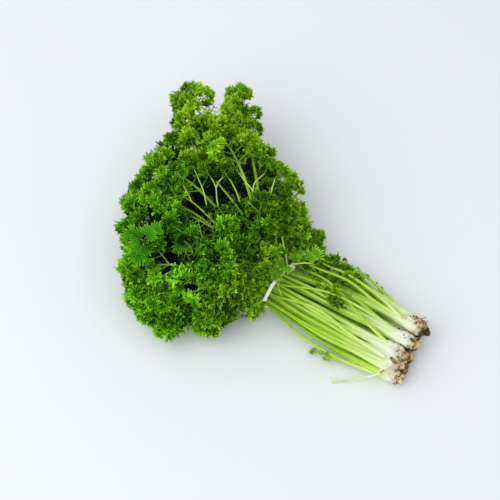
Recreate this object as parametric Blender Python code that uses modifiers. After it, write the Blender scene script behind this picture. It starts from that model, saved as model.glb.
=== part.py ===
"""A bunch of curly parsley, pulled with its roots on, tied with a flat band and lying on its side.

Metres, Z up. The bunch lies along X with the root crowns towards +X and the leaves towards -X.
Each plant is a root crown with its stalks, grown as one piece. Each stalk ends in a leaf: a rib
that carries a fan at its tip and pairs of fans at its sides, all with cut and waved edges.
"""

import math
import random

import bmesh
import bpy
from mathutils import Matrix, Vector
from mathutils.bvhtree import BVHTree

# The tie, and the stalks where they pass through it.
TIE_CENTRE = Vector((0.0, 0.0, 0.0132))
SLOT_X = -0.0025
SLOT_SPACING = 0.0041
BAND_WIDTH = 0.0022
BAND_THICKNESS = 0.0009
BAND_MARGIN = 0.0031
BAND_SEGMENTS = 30

# Layers of stalks from the table up: how many, height at the tie, how steeply they rise past it,
# and between which angles from -X the layer fans out, in degrees.
LAYERS = (
    {"count": 7, "height": 0.0050, "rise": 6.0, "fan": (-62.0, 62.0)},
    {"count": 9, "height": 0.0091, "rise": 20.0, "fan": (-64.0, 62.0)},
    {"count": 9, "height": 0.0132, "rise": 35.0, "fan": (-62.0, 58.0)},
    {"count": 7, "height": 0.0173, "rise": 51.0, "fan": (-58.0, 20.0)},
    {"count": 5, "height": 0.0214, "rise": 70.0, "fan": (-50.0, 2.0)},
)
ZIGZAG = 5.0
INNER_SHARE = 0.87
# How far the leaf tips reach along the table, by the angle from -X, and how high the top is.
REACH = (
    (-75.0, 0.070), (-61.0, 0.086), (-51.0, 0.104), (-36.0, 0.124), (-21.0, 0.136), (-6.0, 0.146),
    (5.0, 0.153), (13.0, 0.162), (22.0, 0.170), (35.0, 0.164), (44.0, 0.140), (52.0, 0.108),
    (60.0, 0.084), (90.0, 0.058),
)
TOP_HEIGHT = 0.080
DOME_SQUARENESS = 3.0
# Long leaves that stand out past the others: layer, place in it, angle, rise, reach and size.
LONG_LEAVES = (
    (0, 4, 15.0, 6.0, 0.168, 1.00),
    (0, 5, 33.0, 7.0, 0.168, 1.00),
    (1, 5, 9.0, 21.0, 0.158, 1.00),
    (1, 6, 24.0, 15.0, 0.188, 0.82),
    (2, 6, 30.0, 26.0, 0.152, 0.95),
    (2, 7, 41.5, 19.0, 0.180, 0.78),
)
# Stalks outside the band: plant, slot beside the band, start of the leaf, its angle, rise and size.
LOOSE = (
    ("plant_5", (-0.0025, 0.0245, 0.0052), (-0.020, 0.037, 0.0075), 60.0, 4.0, 0.66),
    ("plant_5", (-0.0025, 0.0270, 0.0102), (-0.007, 0.034, 0.0170), 80.0, 14.0, 0.46),
    ("plant_9", (-0.0025, 0.0262, 0.0158), (-0.030, 0.038, 0.0300), 60.0, 12.0, 0.70),
)
# Young leaves that end short of the tie, lying among and beside the stalks.
YOUNG = (
    ("plant_8", (0.054, 0.019, 0.0300), 4.0, -4.0, 0.66),
    ("plant_5", (0.050, 0.043, 0.0110), 14.0, 8.0, 0.50),
    ("plant_5", (0.070, 0.042, 0.0080), 32.0, 10.0, 0.40),
    ("plant_1", (0.071, -0.026, 0.0045), -10.0, 2.0, 0.40),
)

# A thin bare twig that bends back from one crown down to the table.
TWIG_PLANT = "plant_6"
TWIG = (
    (0.1070, -0.0100, 0.0160), (0.1045, -0.0190, 0.0140), (0.0940, -0.0275, 0.0075),
    (0.0755, -0.0385, 0.0010),
)
TWIG_RADII = (0.0013, 0.0011, 0.0010, 0.0007)

# Root crowns: a lower row on the table and an upper row in its gaps.
CROWN_ROWS = (
    {"count": 5, "height": 0.0050, "layers": (0, 1)},
    {"count": 4, "height": 0.0160, "layers": (2, 3, 4)},
)
CROWN_SPACING = 0.0116
CROWN_X = 0.100
CROWN_Y = 0.0085
CROWN_SKEW = -0.16
CROWN_PROFILE = ((-0.020, 0.0034), (-0.011, 0.0050), (-0.003, 0.0055), (0.004, 0.0051), (0.009, 0.0036))
ROOTLETS = 2
ROOTLET_LENGTHS = (0.008, 0.013)
ROOTLET_RADII = (0.0024, 0.0010)
STALK_BASE_SPREAD = 0.0028
STALK_RADII = ((0.0, 0.0026), (0.12, 0.0022), (0.42, 0.0017), (1.0, 0.0011))
BULGE = 0.30

# Leaves.
LEAF_RIB = 0.034
LEAF_PER_RIB = 1.72
SHORTEST_STALK = 0.018
LOWEST_BASE = 0.0065
LEAF_DROOP = 0.55
RIB_BEND = 34.0
BLADE_THICKNESS = 0.0009
BLADE_ROOM = 0.00085
STALK_ROOM = 0.0004
RIB_ROOM = 0.0007
OWN_SHARE = 0.35
FAN_SPAN = 0.070
RIB_HALF_WIDTH = 0.0009
JOINT_GAP = 0.0004
TABLE_CLEARANCE = 0.00075
ATTEMPTS = 90
MOST_FANS = 6
SETTLE_ATTEMPTS = 80
SETTLE_PLAN = 0.3
SETTLE_RISE = 0.25
SETTLE_SHIFT = 0.0001
TIP_AT = 0.96
# Fans along the rib: place along it, angle from it, length of the fan's stem, radius of the fan.
PINNAE = (
    {"at": 0.06, "angle": 66.0, "stem": 0.0120, "radius": 0.0108, "side": 1},
    {"at": 0.06, "angle": 66.0, "stem": 0.0120, "radius": 0.0108, "side": -1},
    {"at": 0.56, "angle": 54.0, "stem": 0.0060, "radius": 0.0104, "side": 1},
    {"at": 0.56, "angle": 54.0, "stem": 0.0060, "radius": 0.0104, "side": -1},
    {"at": TIP_AT, "angle": 0.0, "stem": 0.0040, "radius": 0.0115, "side": 0},
    {"at": 0.30, "angle": 72.0, "stem": 0.0070, "radius": 0.0088, "side": 1},
    {"at": 0.30, "angle": 72.0, "stem": 0.0070, "radius": 0.0088, "side": -1},
)
TEETH = 5
FAN_HALF_ANGLE = 132.0
NOTCH_DEPTH = 0.76

STALK_COLOUR = (0.45, 0.62, 0.16, 1.0)
LEAF_COLOUR = (0.08, 0.24, 0.02, 1.0)
BAND_COLOUR = (0.92, 0.93, 0.90, 1.0)


def between(table, x):
    """The value at x, on straight lines between the table's (x, value) pairs."""
    for (x0, low), (x1, high) in zip(table, table[1:]):
        if x <= x1:
            return low + (high - low) * max(0.0, (x - x0) / (x1 - x0))
    return table[-1][1]


def direction(plan, rise):
    """Unit vector at an angle from -X in plan and an angle above the table, in degrees."""
    p, r = math.radians(plan), math.radians(rise)
    return Vector((-math.cos(p) * math.cos(r), math.sin(p) * math.cos(r), math.sin(r)))


def reach(plan, rise):
    """Distance from the tie to the outside of the bunch, which is a dome over the table."""
    along, above = math.cos(math.radians(rise)), math.sin(math.radians(rise))
    power = DOME_SQUARENESS
    return ((along / between(REACH, plan)) ** power + (above / TOP_HEIGHT) ** power) ** (-1.0 / power)


# ---------------------------------------------------------------- layout


def fronds():
    """Every frond, layer by layer: its slot in the tie and where its leaf goes."""
    long_leaves = {(layer, place): rest for layer, place, *rest in LONG_LEAVES}
    found = []
    for number, layer in enumerate(LAYERS):
        for i in range(layer["count"]):
            draw = random.Random(f"frond {number} {i}")
            share = (i + 0.5) / layer["count"]
            low, high = layer["fan"]
            plan = low + (high - low) * i / (layer["count"] - 1) + draw.uniform(-3.0, 3.0)
            rise = layer["rise"] + (ZIGZAG if (i + number) % 2 else -ZIGZAG) * (0.4 if number == 0 else 1.0)
            far = reach(plan, rise) * draw.uniform(0.95, 1.03) * (1.0 if (i + number) % 2 else INNER_SHARE)
            size = draw.uniform(0.92, 1.06)
            if (number, i) in long_leaves:
                plan, rise, far, size = long_leaves[number, i]
            found.append({
                "layer": number,
                "slot": Vector((SLOT_X, (share - 0.5) * layer["count"] * SLOT_SPACING, layer["height"])),
                "plan": plan,
                "rise": rise,
                "reach": far,
                "roll": draw.uniform(-18.0, 18.0),
                "size": size,
            })
    return found


def plants(all_fronds):
    """Root crowns in two rows, each with the stalks that pass the tie in front of it."""
    made = []
    for row in CROWN_ROWS:
        own = sorted((f for f in all_fronds if f["layer"] in row["layers"]), key=lambda f: f["slot"].y)
        for i in range(row["count"]):
            first = round(len(own) * i / row["count"])
            last = round(len(own) * (i + 1) / row["count"])
            across = (i - (row["count"] - 1) / 2) * CROWN_SPACING
            crown = Vector((CROWN_X + CROWN_SKEW * across, CROWN_Y + across, row["height"]))
            made.append({"crown": crown, "fronds": own[first:last], "name": f"plant_{len(made) + 1}"})
    for plant in made:
        for name, slot, base, plan, rise, size in LOOSE:
            if name == plant["name"]:
                loose = {"slot": Vector(slot), "base": Vector(base), "plan": plan, "rise": rise}
                plant["fronds"].append(loose | {"layer": None, "roll": 0.0, "size": size})
        for name, base, plan, rise, size in YOUNG:
            if name == plant["name"]:
                young = {"slot": None, "base": Vector(base), "plan": plan, "rise": rise}
                plant["fronds"].append(young | {"layer": None, "roll": 0.0, "size": size})
        for n, frond in enumerate(plant["fronds"], 1):
            frond["name"] = f"{plant['name']}_leaf_{n}"
    return made


def leaf_base(frond):
    """Where a leaf starts, the way it points there, and its upper side's normal."""
    if "base" in frond:
        base = frond["base"]
        forward = direction(frond["plan"], frond["rise"])
    else:
        outward = direction(frond["plan"], frond["rise"])
        leaf = LEAF_RIB * frond["size"] * LEAF_PER_RIB
        slot = frond["slot"]
        gone = (slot - TIE_CENTRE).dot(outward)
        base = slot + outward * max(frond["reach"] - leaf - gone, SHORTEST_STALK)
        base.z = max(base.z, LOWEST_BASE)
        forward = direction(frond["plan"], frond["rise"] * LEAF_DROOP)
    side = forward.cross(Vector((0.0, 0.0, 1.0))).normalized()
    normal = side.cross(forward).normalized()
    normal.rotate(Matrix.Rotation(math.radians(frond["roll"]), 3, forward))
    return base, forward, normal


def bend(start, leaving, end, arriving, shares):
    """Points of a smooth curve from start to end with the given tangents."""
    points = []
    for t in shares:
        t2, t3 = t * t, t * t * t
        point = start * (2 * t3 - 3 * t2 + 1) + leaving * (t3 - 2 * t2 + t)
        points.append(point + end * (3 * t2 - 2 * t3) + arriving * (t3 - t2))
    return points


def stalk_points(frond, plant):
    """Centre line of a stalk from its crown, through its slot in the tie, to its leaf."""
    base, forward, _ = leaf_base(frond)
    slot = frond["slot"]
    back = Vector((-1.0, 0.0, 0.0))
    if slot is None:
        root = plant["crown"] + Vector((0.0, 0.0, STALK_BASE_SPREAD * 0.6))
        pull = (base - root).length
        return bend(root, back * pull, base, forward * pull, (0.0, 0.25, 0.5, 0.75, 1.0))
    group = [f["slot"] for f in plant["fronds"] if f["slot"]]
    middle = sum(group, Vector()) / len(group)
    spread = max((s - middle).length for s in group) or 1.0
    root = plant["crown"] + (slot - middle) * (STALK_BASE_SPREAD / spread)
    points = [root]
    for t in (0.2, 0.55):
        point = root.lerp(slot, t)
        point.y += (point.y - CROWN_Y * (1 - t)) * BULGE * math.sin(math.pi * t)
        points.append(point)
    pull = (base - slot).length
    leaving = ((base - slot).normalized() + back) * (0.45 * pull)
    return points + bend(slot, leaving, base, forward * pull, (0.0, 0.3, 0.6, 0.85, 1.0))


def rib_point(base, forward, normal, length, share):
    """A point of the arched rib, with the way it points and its normal there."""
    bend = math.radians(RIB_BEND)
    a = bend * share
    point = base + forward * (length / bend * math.sin(a)) + normal * (length / bend * (math.cos(a) - 1))
    return point, forward * math.cos(a) - normal * math.sin(a), normal * math.cos(a) + forward * math.sin(a)


def pinna_frame(frond, number, attempt):
    """Matrix of one fan: X along it, Z up from its face. Later attempts stray further."""
    pinna = PINNAE[number]
    base, forward, normal = leaf_base(frond)
    origin, along, up = rib_point(base, forward, normal, LEAF_RIB * frond["size"], pinna["at"])
    draw = random.Random(f"{frond['name']} {number} {attempt}")
    stray = 14.0 + 60.0 * attempt / ATTEMPTS
    turn = draw.uniform(-0.4, 0.4) * stray * (1.0 if pinna["side"] else 1.6)
    axis = along.copy()
    axis.rotate(Matrix.Rotation(math.radians(pinna["angle"] * pinna["side"] + turn), 3, up))
    across = up.cross(axis).normalized()
    pitch = math.radians(draw.uniform(-1.0, 1.1) * stray + 6.0)
    axis.rotate(Matrix.Rotation(-pitch, 3, across))
    face = axis.cross(across)
    face.rotate(Matrix.Rotation(math.radians(draw.uniform(-stray, stray)), 3, axis))
    across = face.cross(axis)
    axes = Matrix((axis, across, face)).transposed().to_4x4()
    stem = pinna["stem"] * draw.uniform(0.75, 1.25)
    return Matrix.Translation(origin) @ axes, stem


# ---------------------------------------------------------------- shapes


def tube(points, radii, resolution):
    """Mesh of a tapered round bar along the points, with filled ends."""
    curve = bpy.data.curves.new("bar", "CURVE")
    curve.dimensions = "3D"
    curve.bevel_depth = 1.0
    curve.bevel_resolution = resolution
    curve.use_fill_caps = True
    spline = curve.splines.new("POLY")
    spline.points.add(len(points) - 1)
    for place, co, radius in zip(spline.points, points, radii):
        place.co = (*co, 1.0)
        place.radius = radius
    helper = bpy.data.objects.new("bar", curve)
    bpy.context.scene.collection.objects.link(helper)
    graph = bpy.context.evaluated_depsgraph_get()
    mesh = bpy.data.meshes.new_from_object(helper.evaluated_get(graph))
    bpy.data.objects.remove(helper)
    bm = bmesh.new()
    bm.from_mesh(mesh)
    bmesh.ops.remove_doubles(bm, verts=bm.verts, dist=1e-6)
    bmesh.ops.triangulate(bm, faces=bm.faces)
    bmesh.ops.recalc_face_normals(bm, faces=bm.faces)
    bm.to_mesh(mesh)
    bm.free()
    return mesh


def fan_rim(frond, number, attempt):
    """The foot, middle and rim of one fan in place: it widens from its stem to waved teeth."""
    size = frond["size"] * (1.0 - 0.25 * attempt / ATTEMPTS)
    place, stem = pinna_frame(frond, number, attempt)
    radius = PINNAE[number]["radius"] * size
    draw = random.Random(f"{frond['name']} {number}")
    centre_x = stem * size + radius * 0.95
    points = [Vector((0.0, 0.0, 0.0)), Vector((centre_x, 0.0, -0.12 * radius))]
    for i in range(2 * TEETH + 1):
        tip = i % 2 == 1
        angle = math.radians(FAN_HALF_ANGLE) * (i / TEETH - 1)
        out = radius * (draw.uniform(0.98, 1.12) if tip else NOTCH_DEPTH)
        lift = radius * (draw.uniform(0.12, 0.40) if tip else draw.uniform(-0.16, -0.02))
        points.append(Vector((centre_x + out * math.cos(angle), out * math.sin(angle), lift)))
    points = [place @ p for p in points]
    for p in points:
        p.z = max(p.z, TABLE_CLEARANCE)
    return points


def leaf_surface(frond):
    """Points and triangles of a leaf's middle surface: the rib as a strip with the fans grown from it."""
    base, forward, normal = leaf_base(frond)
    length = LEAF_RIB * frond["size"]
    half = RIB_HALF_WIDTH
    stops = [JOINT_GAP / length]
    for at in sorted({p["at"] for p in PINNAE if p["side"]}):
        stops += [at - half / length, at + half / length]
    stops = sorted(max(s, JOINT_GAP / length) for s in stops) + [TIP_AT]
    points, triangles, edges = [], [], {}
    for n, stop in enumerate(stops):
        centre, along, up = rib_point(base, forward, normal, length, stop)
        side = up.cross(along) * half
        centre.z = max(centre.z, TABLE_CLEARANCE + side.z)
        points += [centre - side, centre + side]
        if n:
            a = 2 * n - 2
            triangles += [(a, a + 2, a + 3), (a, a + 3, a + 1)]
    for number, pinna in enumerate(PINNAE):
        if pinna["side"]:
            n = min(range(len(stops) - 1), key=lambda k: abs((stops[k] + stops[k + 1]) / 2 - pinna["at"]))
            edges[number] = (2 * n, 2 * n + 2) if pinna["side"] < 0 else (2 * n + 3, 2 * n + 1)
        else:
            edges[number] = (len(points) - 2, len(points) - 1)
    for number, attempt in frond["fans"].items():
        first = len(points)
        points += fan_rim(frond, number, attempt)[1:]
        ring = [edges[number][0]] + list(range(first + 1, len(points))) + [edges[number][1]]
        triangles += [(first, a, b) for a, b in zip(ring, ring[1:] + ring[:1])]
    return points, triangles


def room(points, foot_share):
    """Search tree of a fan with the room it needs on both faces, from some way up its stem."""
    foot, middle, *rim = points
    side = (rim[-1] - rim[0]).normalized() * RIB_HALF_WIDTH
    foot = foot.lerp(middle, foot_share)
    rim += [foot + side, foot - side]
    normal = Vector()
    for a, b in zip(rim, rim[1:]):
        normal += (a - middle).cross(b - middle)
    normal.normalize()
    sheets = [p + normal * s for s in (-BLADE_ROOM, 0.0, BLADE_ROOM) for p in (middle, *rim)]
    n = len(rim) + 1
    faces = [(k * n, k * n + i, k * n + i % (n - 1) + 1) for k in range(3) for i in range(1, n)]
    return BVHTree.FromPolygons(sheets, faces)


def blade(points, triangles, thickness):
    """Closed mesh of a surface given a thickness, alike on both faces, by Solidify."""
    sheet = bpy.data.meshes.new("sheet")
    sheet.from_pydata(points, [], triangles)
    helper = bpy.data.objects.new("sheet", sheet)
    bpy.context.scene.collection.objects.link(helper)
    solidify = helper.modifiers.new("thickness", "SOLIDIFY")
    solidify.thickness = thickness
    solidify.offset = 0.0
    graph = bpy.context.evaluated_depsgraph_get()
    mesh = bpy.data.meshes.new_from_object(helper.evaluated_get(graph))
    bpy.data.objects.remove(helper)
    bpy.data.meshes.remove(sheet)
    bm = bmesh.new()
    bm.from_mesh(mesh)
    bmesh.ops.triangulate(bm, faces=bm.faces)
    bmesh.ops.recalc_face_normals(bm, faces=bm.faces)
    bm.to_mesh(mesh)
    bm.free()
    return mesh


def tree(mesh):
    return BVHTree.FromPolygons([v.co for v in mesh.vertices], [tuple(p.vertices) for p in mesh.polygons])


def union(name, meshes, collection, material):
    """One object from overlapping meshes, joined by one Boolean union on a collection."""
    body = bpy.data.objects.new(name, meshes[0])
    bpy.context.scene.collection.objects.link(body)
    others = bpy.data.collections.new("others")
    bpy.context.scene.collection.children.link(others)
    for mesh in meshes[1:]:
        others.objects.link(bpy.data.objects.new("other", mesh))
    join = body.modifiers.new("join", "BOOLEAN")
    join.operation = "UNION"
    join.operand_type = "COLLECTION"
    join.collection = others
    join.solver = "MANIFOLD"
    graph = bpy.context.evaluated_depsgraph_get()
    joined = bpy.data.meshes.new_from_object(body.evaluated_get(graph))
    for helper in [*others.objects, body]:
        bpy.data.objects.remove(helper)
    bpy.data.collections.remove(others)
    joined.name = name
    joined.materials.clear()
    joined.materials.append(material)
    node = bpy.data.objects.new(name, joined)
    collection.objects.link(node)
    return node


def plain_material(name, colour, roughness):
    made = bpy.data.materials.new(name)
    made.use_nodes = True
    shader = made.node_tree.nodes["Principled BSDF"]
    shader.inputs["Base Color"].default_value = colour
    shader.inputs["Roughness"].default_value = roughness
    shader.inputs["Metallic"].default_value = 0.0
    return made


# ---------------------------------------------------------------- pieces


def cut_at_table(mesh):
    """Cuts away what is below the table and closes the mesh with a flat face there."""
    bm = bmesh.new()
    bm.from_mesh(mesh)
    whole = bm.verts[:] + bm.edges[:] + bm.faces[:]
    cut = bmesh.ops.bisect_plane(bm, geom=whole, plane_co=(0, 0, 0), plane_no=(0, 0, -1), clear_outer=True)
    edges = [e for e in cut["geom_cut"] if isinstance(e, bmesh.types.BMEdge)]
    if edges:
        bmesh.ops.holes_fill(bm, edges=edges)
    bmesh.ops.triangulate(bm, faces=bm.faces)
    bmesh.ops.recalc_face_normals(bm, faces=bm.faces)
    bm.to_mesh(mesh)
    bm.free()
    return mesh


def crown(plant):
    """Mesh of a root crown, a blunt lump along the stalks."""
    slots = [f["slot"] for f in plant["fronds"] if f["slot"]]
    along = (plant["crown"] - sum(slots, Vector()) / len(slots)).normalized()
    points = [plant["crown"] + along * x for x, _ in CROWN_PROFILE]
    return tube(points, [r for _, r in CROWN_PROFILE], 2)


def rootlets(plant):
    """Meshes of the cut root stubs on the end of a crown."""
    draw = random.Random(f"{plant['name']} roots")
    made = []
    for _ in range(ROOTLETS):
        off_middle = Vector((0.004, draw.uniform(-0.002, 0.002), draw.uniform(0.0, 0.002)))
        start = plant["crown"] + off_middle
        way = Vector((1.0, draw.uniform(-0.3, 0.3), draw.uniform(0.0, 0.2))).normalized()
        made.append(tube([start, start + way * draw.uniform(*ROOTLET_LENGTHS)], ROOTLET_RADII, 0))
    return made


def stalk(frond, plant, extra=0.0):
    """Mesh of one stalk from its crown to its leaf."""
    points = stalk_points(frond, plant)
    run = [0.0]
    for a, b in zip(points, points[1:]):
        run.append(run[-1] + (b - a).length)
    return tube(points, [between(STALK_RADII, r / run[-1]) + extra for r in run], 0)


def rib(frond, extra=0.0):
    """Mesh of the room a leaf's rib takes."""
    base, forward, normal = leaf_base(frond)
    length = LEAF_RIB * frond["size"]
    shares = (JOINT_GAP / length, 0.25, 0.5, 0.75, 1.0)
    points = [rib_point(base, forward, normal, length, share)[0] for share in shares]
    return tube(points, [RIB_HALF_WIDTH + extra] * len(points), 0)


def band_mesh(all_fronds):
    """The band as an open strip pulled tight round the stalks, given its thickness by Solidify."""
    tied = [f["slot"] for f in all_fronds if f["layer"] is not None]
    step = 2 * math.pi / BAND_SEGMENTS
    reach_at = []
    for i in range(BAND_SEGMENTS):
        across, above = math.cos(step * i), math.sin(step * i)
        reach_at.append(max(s.y * across + s.z * above for s in tied) + BAND_MARGIN)
    points, triangles = [], []
    for i, near in enumerate(reach_at):
        far = reach_at[(i + 1) % BAND_SEGMENTS]
        slide = (far - near * math.cos(step)) / math.sin(step)
        across, above = math.cos(step * i), math.sin(step * i)
        y, z = near * across - slide * above, near * above + slide * across
        points += [Vector((-BAND_WIDTH / 2, y, z)), Vector((BAND_WIDTH / 2, y, z))]
        a, b = 2 * i, 2 * ((i + 1) % BAND_SEGMENTS)
        triangles += [(a, a + 1, b + 1), (a, b + 1, b)]
    return blade(points, triangles, BAND_THICKNESS)


def settle(plant, frond, filled):
    """Turns a frond a little further at each attempt until its stalk and rib are clear of the rest."""
    plan, rise, base = frond["plan"], frond["rise"], frond.get("base")
    own = f"{plant['name']}_stalks"
    for attempt in range(SETTLE_ATTEMPTS):
        draw = random.Random(f"{frond['name']} settle {attempt}")
        if base:
            shift = SETTLE_SHIFT * attempt
            frond["base"] = base + Vector([draw.uniform(-shift, shift) for _ in range(3)])
        frond["plan"] = plan + draw.uniform(-SETTLE_PLAN, SETTLE_PLAN) * attempt
        frond["rise"] = rise + draw.uniform(-SETTLE_RISE, SETTLE_RISE) * attempt
        bar, spine = tree(stalk(frond, plant, STALK_ROOM)), tree(rib(frond, RIB_ROOM))
        if any(name != own and bar.overlap(other) or spine.overlap(other) for name, other in filled):
            continue
        filled += [(own, bar), (frond["name"], spine)]
        return
    raise ValueError(f"no clear place for {frond['name']}")


def place_fans(all_fronds, filled):
    """Gives each leaf the fans that find a clear place, one fan for every leaf in turn."""
    placed = []
    for number in range(len(PINNAE)):
        for frond in all_fronds:
            name, fans = frond["name"], frond.setdefault("fans", {})
            for attempt in range(ATTEMPTS if len(fans) < MOST_FANS else 0):
                points = fan_rim(frond, number, attempt)
                whole, outer = room(points, 0.0), room(points, OWN_SHARE)
                if any((outer if name == other else whole).overlap(t) for other, t in filled):
                    continue
                near = [p for p in placed if (p[1] - points[1]).length < FAN_SPAN]
                if any(outer.overlap(p[3]) if p[0] == name else whole.overlap(p[2]) for p in near):
                    continue
                fans[number] = attempt
                placed.append((name, points[1], whole, outer))
                break


def stand_on_origin(nodes):
    """Moves the bunch so that the middle of its underside is the origin."""
    points = [v.co for node in nodes for v in node.data.vertices]
    low = Vector([min(p[i] for p in points) for i in range(3)])
    high = Vector([max(p[i] for p in points) for i in range(3)])
    move = Matrix.Translation(Vector((-(low.x + high.x) / 2, -(low.y + high.y) / 2, -low.z)))
    for node in nodes:
        node.data.transform(move)


def main():
    for old in list(bpy.data.objects):
        bpy.data.objects.remove(old)
    bunch = bpy.data.collections.new("curly_parsley_bunch")
    bpy.context.scene.collection.children.link(bunch)
    stalk_green = plain_material("stalk green", STALK_COLOUR, 0.45)
    leaf_green = plain_material("leaf green", LEAF_COLOUR, 0.55)
    band_white = plain_material("band white", BAND_COLOUR, 0.4)

    all_plants = plants(fronds())
    all_fronds = [frond for plant in all_plants for frond in plant["fronds"]]
    ring = bpy.data.objects.new("tie_band", band_mesh(all_fronds))
    ring.data.materials.append(band_white)
    bunch.objects.link(ring)
    filled = [("tie_band", tree(ring.data))]
    filled += [(f"{plant['name']}_stalks", tree(crown(plant))) for plant in all_plants]
    for layer in (*range(len(LAYERS)), None):
        for plant in all_plants:
            for frond in plant["fronds"]:
                if frond["layer"] == layer:
                    settle(plant, frond, filled)
    for plant in all_plants:
        meshes = [crown(plant)] + rootlets(plant) + [stalk(frond, plant) for frond in plant["fronds"]]
        if plant["name"] == TWIG_PLANT:
            meshes.append(tube([Vector(p) for p in TWIG], TWIG_RADII, 0))
        union(f"{plant['name']}_stalks", [cut_at_table(mesh) for mesh in meshes], bunch, stalk_green)
    place_fans(all_fronds, filled)
    for frond in all_fronds:
        leaf = bpy.data.objects.new(frond["name"], blade(*leaf_surface(frond), BLADE_THICKNESS))
        leaf.data.materials.append(leaf_green)
        bunch.objects.link(leaf)
    stand_on_origin(bunch.objects)


main()
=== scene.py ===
"""Looks of a bunch of curly parsley that lies on its side, with its root crowns on and a white tie.

Each plant is a crown with grooved stalks, and each stalk ends in a leaf of curled, toothed leaflets.
"""

import math
import random

import bpy
import numpy as np
from mathutils import Matrix, Vector, noise
from mathutils.bvhtree import BVHTree


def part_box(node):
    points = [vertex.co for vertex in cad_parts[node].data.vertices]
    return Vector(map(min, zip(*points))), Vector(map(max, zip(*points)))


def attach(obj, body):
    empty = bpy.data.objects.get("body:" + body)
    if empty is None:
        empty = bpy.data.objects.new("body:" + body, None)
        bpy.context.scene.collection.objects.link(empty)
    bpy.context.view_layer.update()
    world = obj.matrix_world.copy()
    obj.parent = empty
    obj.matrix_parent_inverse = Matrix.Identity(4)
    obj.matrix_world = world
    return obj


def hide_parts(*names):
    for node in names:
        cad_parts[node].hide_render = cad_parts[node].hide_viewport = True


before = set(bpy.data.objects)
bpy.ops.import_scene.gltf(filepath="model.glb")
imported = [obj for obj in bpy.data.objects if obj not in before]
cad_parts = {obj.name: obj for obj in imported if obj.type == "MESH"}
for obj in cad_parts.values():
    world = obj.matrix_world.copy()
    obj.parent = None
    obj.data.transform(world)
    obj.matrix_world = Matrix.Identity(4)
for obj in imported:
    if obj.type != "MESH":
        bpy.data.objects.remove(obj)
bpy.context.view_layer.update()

MM = 0.001
LOW, HIGH = (Vector(corner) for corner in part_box("tie_band"))
TIE = Vector(((LOW.x + HIGH.x) / 2, (LOW.y + HIGH.y) / 2, 0.0))
UP = Vector((0, 0, 1))

# Lengths are in millimetres from the tie, and angles in degrees, those of leaves from -X.
# Layers of tied stalks from the table up: how many, height at the tie, how steeply they rise past
# it, and between which angles the layer fans out. Every other leaf is steeper and further out.
SLOT_X = -2.5
SLOT_SPACING = 4.1
LAYERS = (
    (7, 5.0, 6.0, (-62.0, 62.0)), (9, 9.1, 20.0, (-64.0, 62.0)), (9, 13.2, 35.0, (-62.0, 58.0)),
    (7, 17.3, 51.0, (-58.0, 20.0)), (5, 21.4, 70.0, (-50.0, 2.0)),
)
ZIGZAG = 5.0
LOW_ZIGZAG = 2.0
INNER_SHARE = 0.87
# How far the leaf tips reach along the table, by their angle, and how high the top is.
REACH = (
    (-75, 70), (-61, 86), (-51, 104), (-36, 124), (-21, 136), (-6, 146), (5, 153),
    (13, 162), (22, 170), (35, 164), (44, 140), (52, 108), (60, 84), (90, 58),
)
TOP_HEIGHT = 80.0
DOME_SQUARENESS = 3.0
# Long leaves that stand out past the others: layer and place in it, angle, rise, reach and size.
LONG_LEAVES = {
    (0, 4): (15, 6, 168, 1.0), (0, 5): (33, 7, 168, 1.0), (1, 5): (9, 21, 158, 1.0),
    (1, 6): (24, 15, 188, 0.82), (2, 6): (30, 26, 152, 0.95), (2, 7): (41.5, 19, 180, 0.78),
}
# Loose leaves, whose stalks pass beside the tie, and young ones that end short of it: plant, place
# beside the tie, start of the leaf, its angle, rise and size.
LOOSE_LEAVES = (
    ("plant_5", (SLOT_X, 24.5, 5.2), (-20, 37, 7.5), 60, 4, 0.66),
    ("plant_5", (SLOT_X, 27.0, 10.2), (-7, 34, 17), 80, 14, 0.46),
    ("plant_9", (SLOT_X, 26.2, 15.8), (-30, 38, 30), 60, 12, 0.70),
    ("plant_8", None, (54, 19, 30), 4, -4, 0.66),
    ("plant_5", None, (50, 43, 11), 14, 8, 0.50),
    ("plant_5", None, (70, 42, 8), 32, 10, 0.40),
    ("plant_1", None, (71, -26, 4.5), -10, 2, 0.40),
)
# Root crowns: a lower row on the table and an upper row in its gaps, with the layers they bear.
CROWN_ROWS = ((5, 5.0, (0, 1)), (4, 16.0, (2, 3, 4)))
CROWN_X, CROWN_Y = 100.0, 8.5
CROWN_SPACING = 11.6
CROWN_SKEW = -0.16
# The room that the solid crowns, stalks and ribs take, as radii, and how the solid stalks run.
CROWN_ROOM = ((-20.0, 3.4), (-11.0, 5.0), (-3.0, 5.5), (4.0, 5.1), (9.0, 3.6))
STALK_ROOM = ((0.0, 3.0), (0.12, 2.6), (0.42, 2.1), (1.0, 1.5))
RIB_ROOM = 1.6
SOLID_SPREAD = 2.8
SOLID_BULGES = (0.30, 0.30)
# Where a leaf starts on its stalk, and how it turns until its stalk and rib are clear.
TIE_HEIGHT = 13.2
LEAF_PER_RIB = 1.72
SHORTEST_STALK = 18.0
LOWEST_BASE = 6.5
LEAF_DROOP = 0.55
JOINT_GAP = 0.4
SETTLE_TRIES = 80
SETTLE_PLAN, SETTLE_RISE, SETTLE_SHIFT = 0.30, 0.25, 0.1
# The solid fans: teeth, half angle, notches, the room on both faces and above the table, and how
# far apart two fans still have to be compared.
TEETH = 5
FAN_HALF_ANGLE = 132.0
NOTCH_DEPTH = 0.76
FAN_FOOT = 0.9
FAN_ROOM = 0.85
OWN_SHARE = 0.35
TABLE_ROOM = 0.75
FAN_SPAN = 70.0

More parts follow.
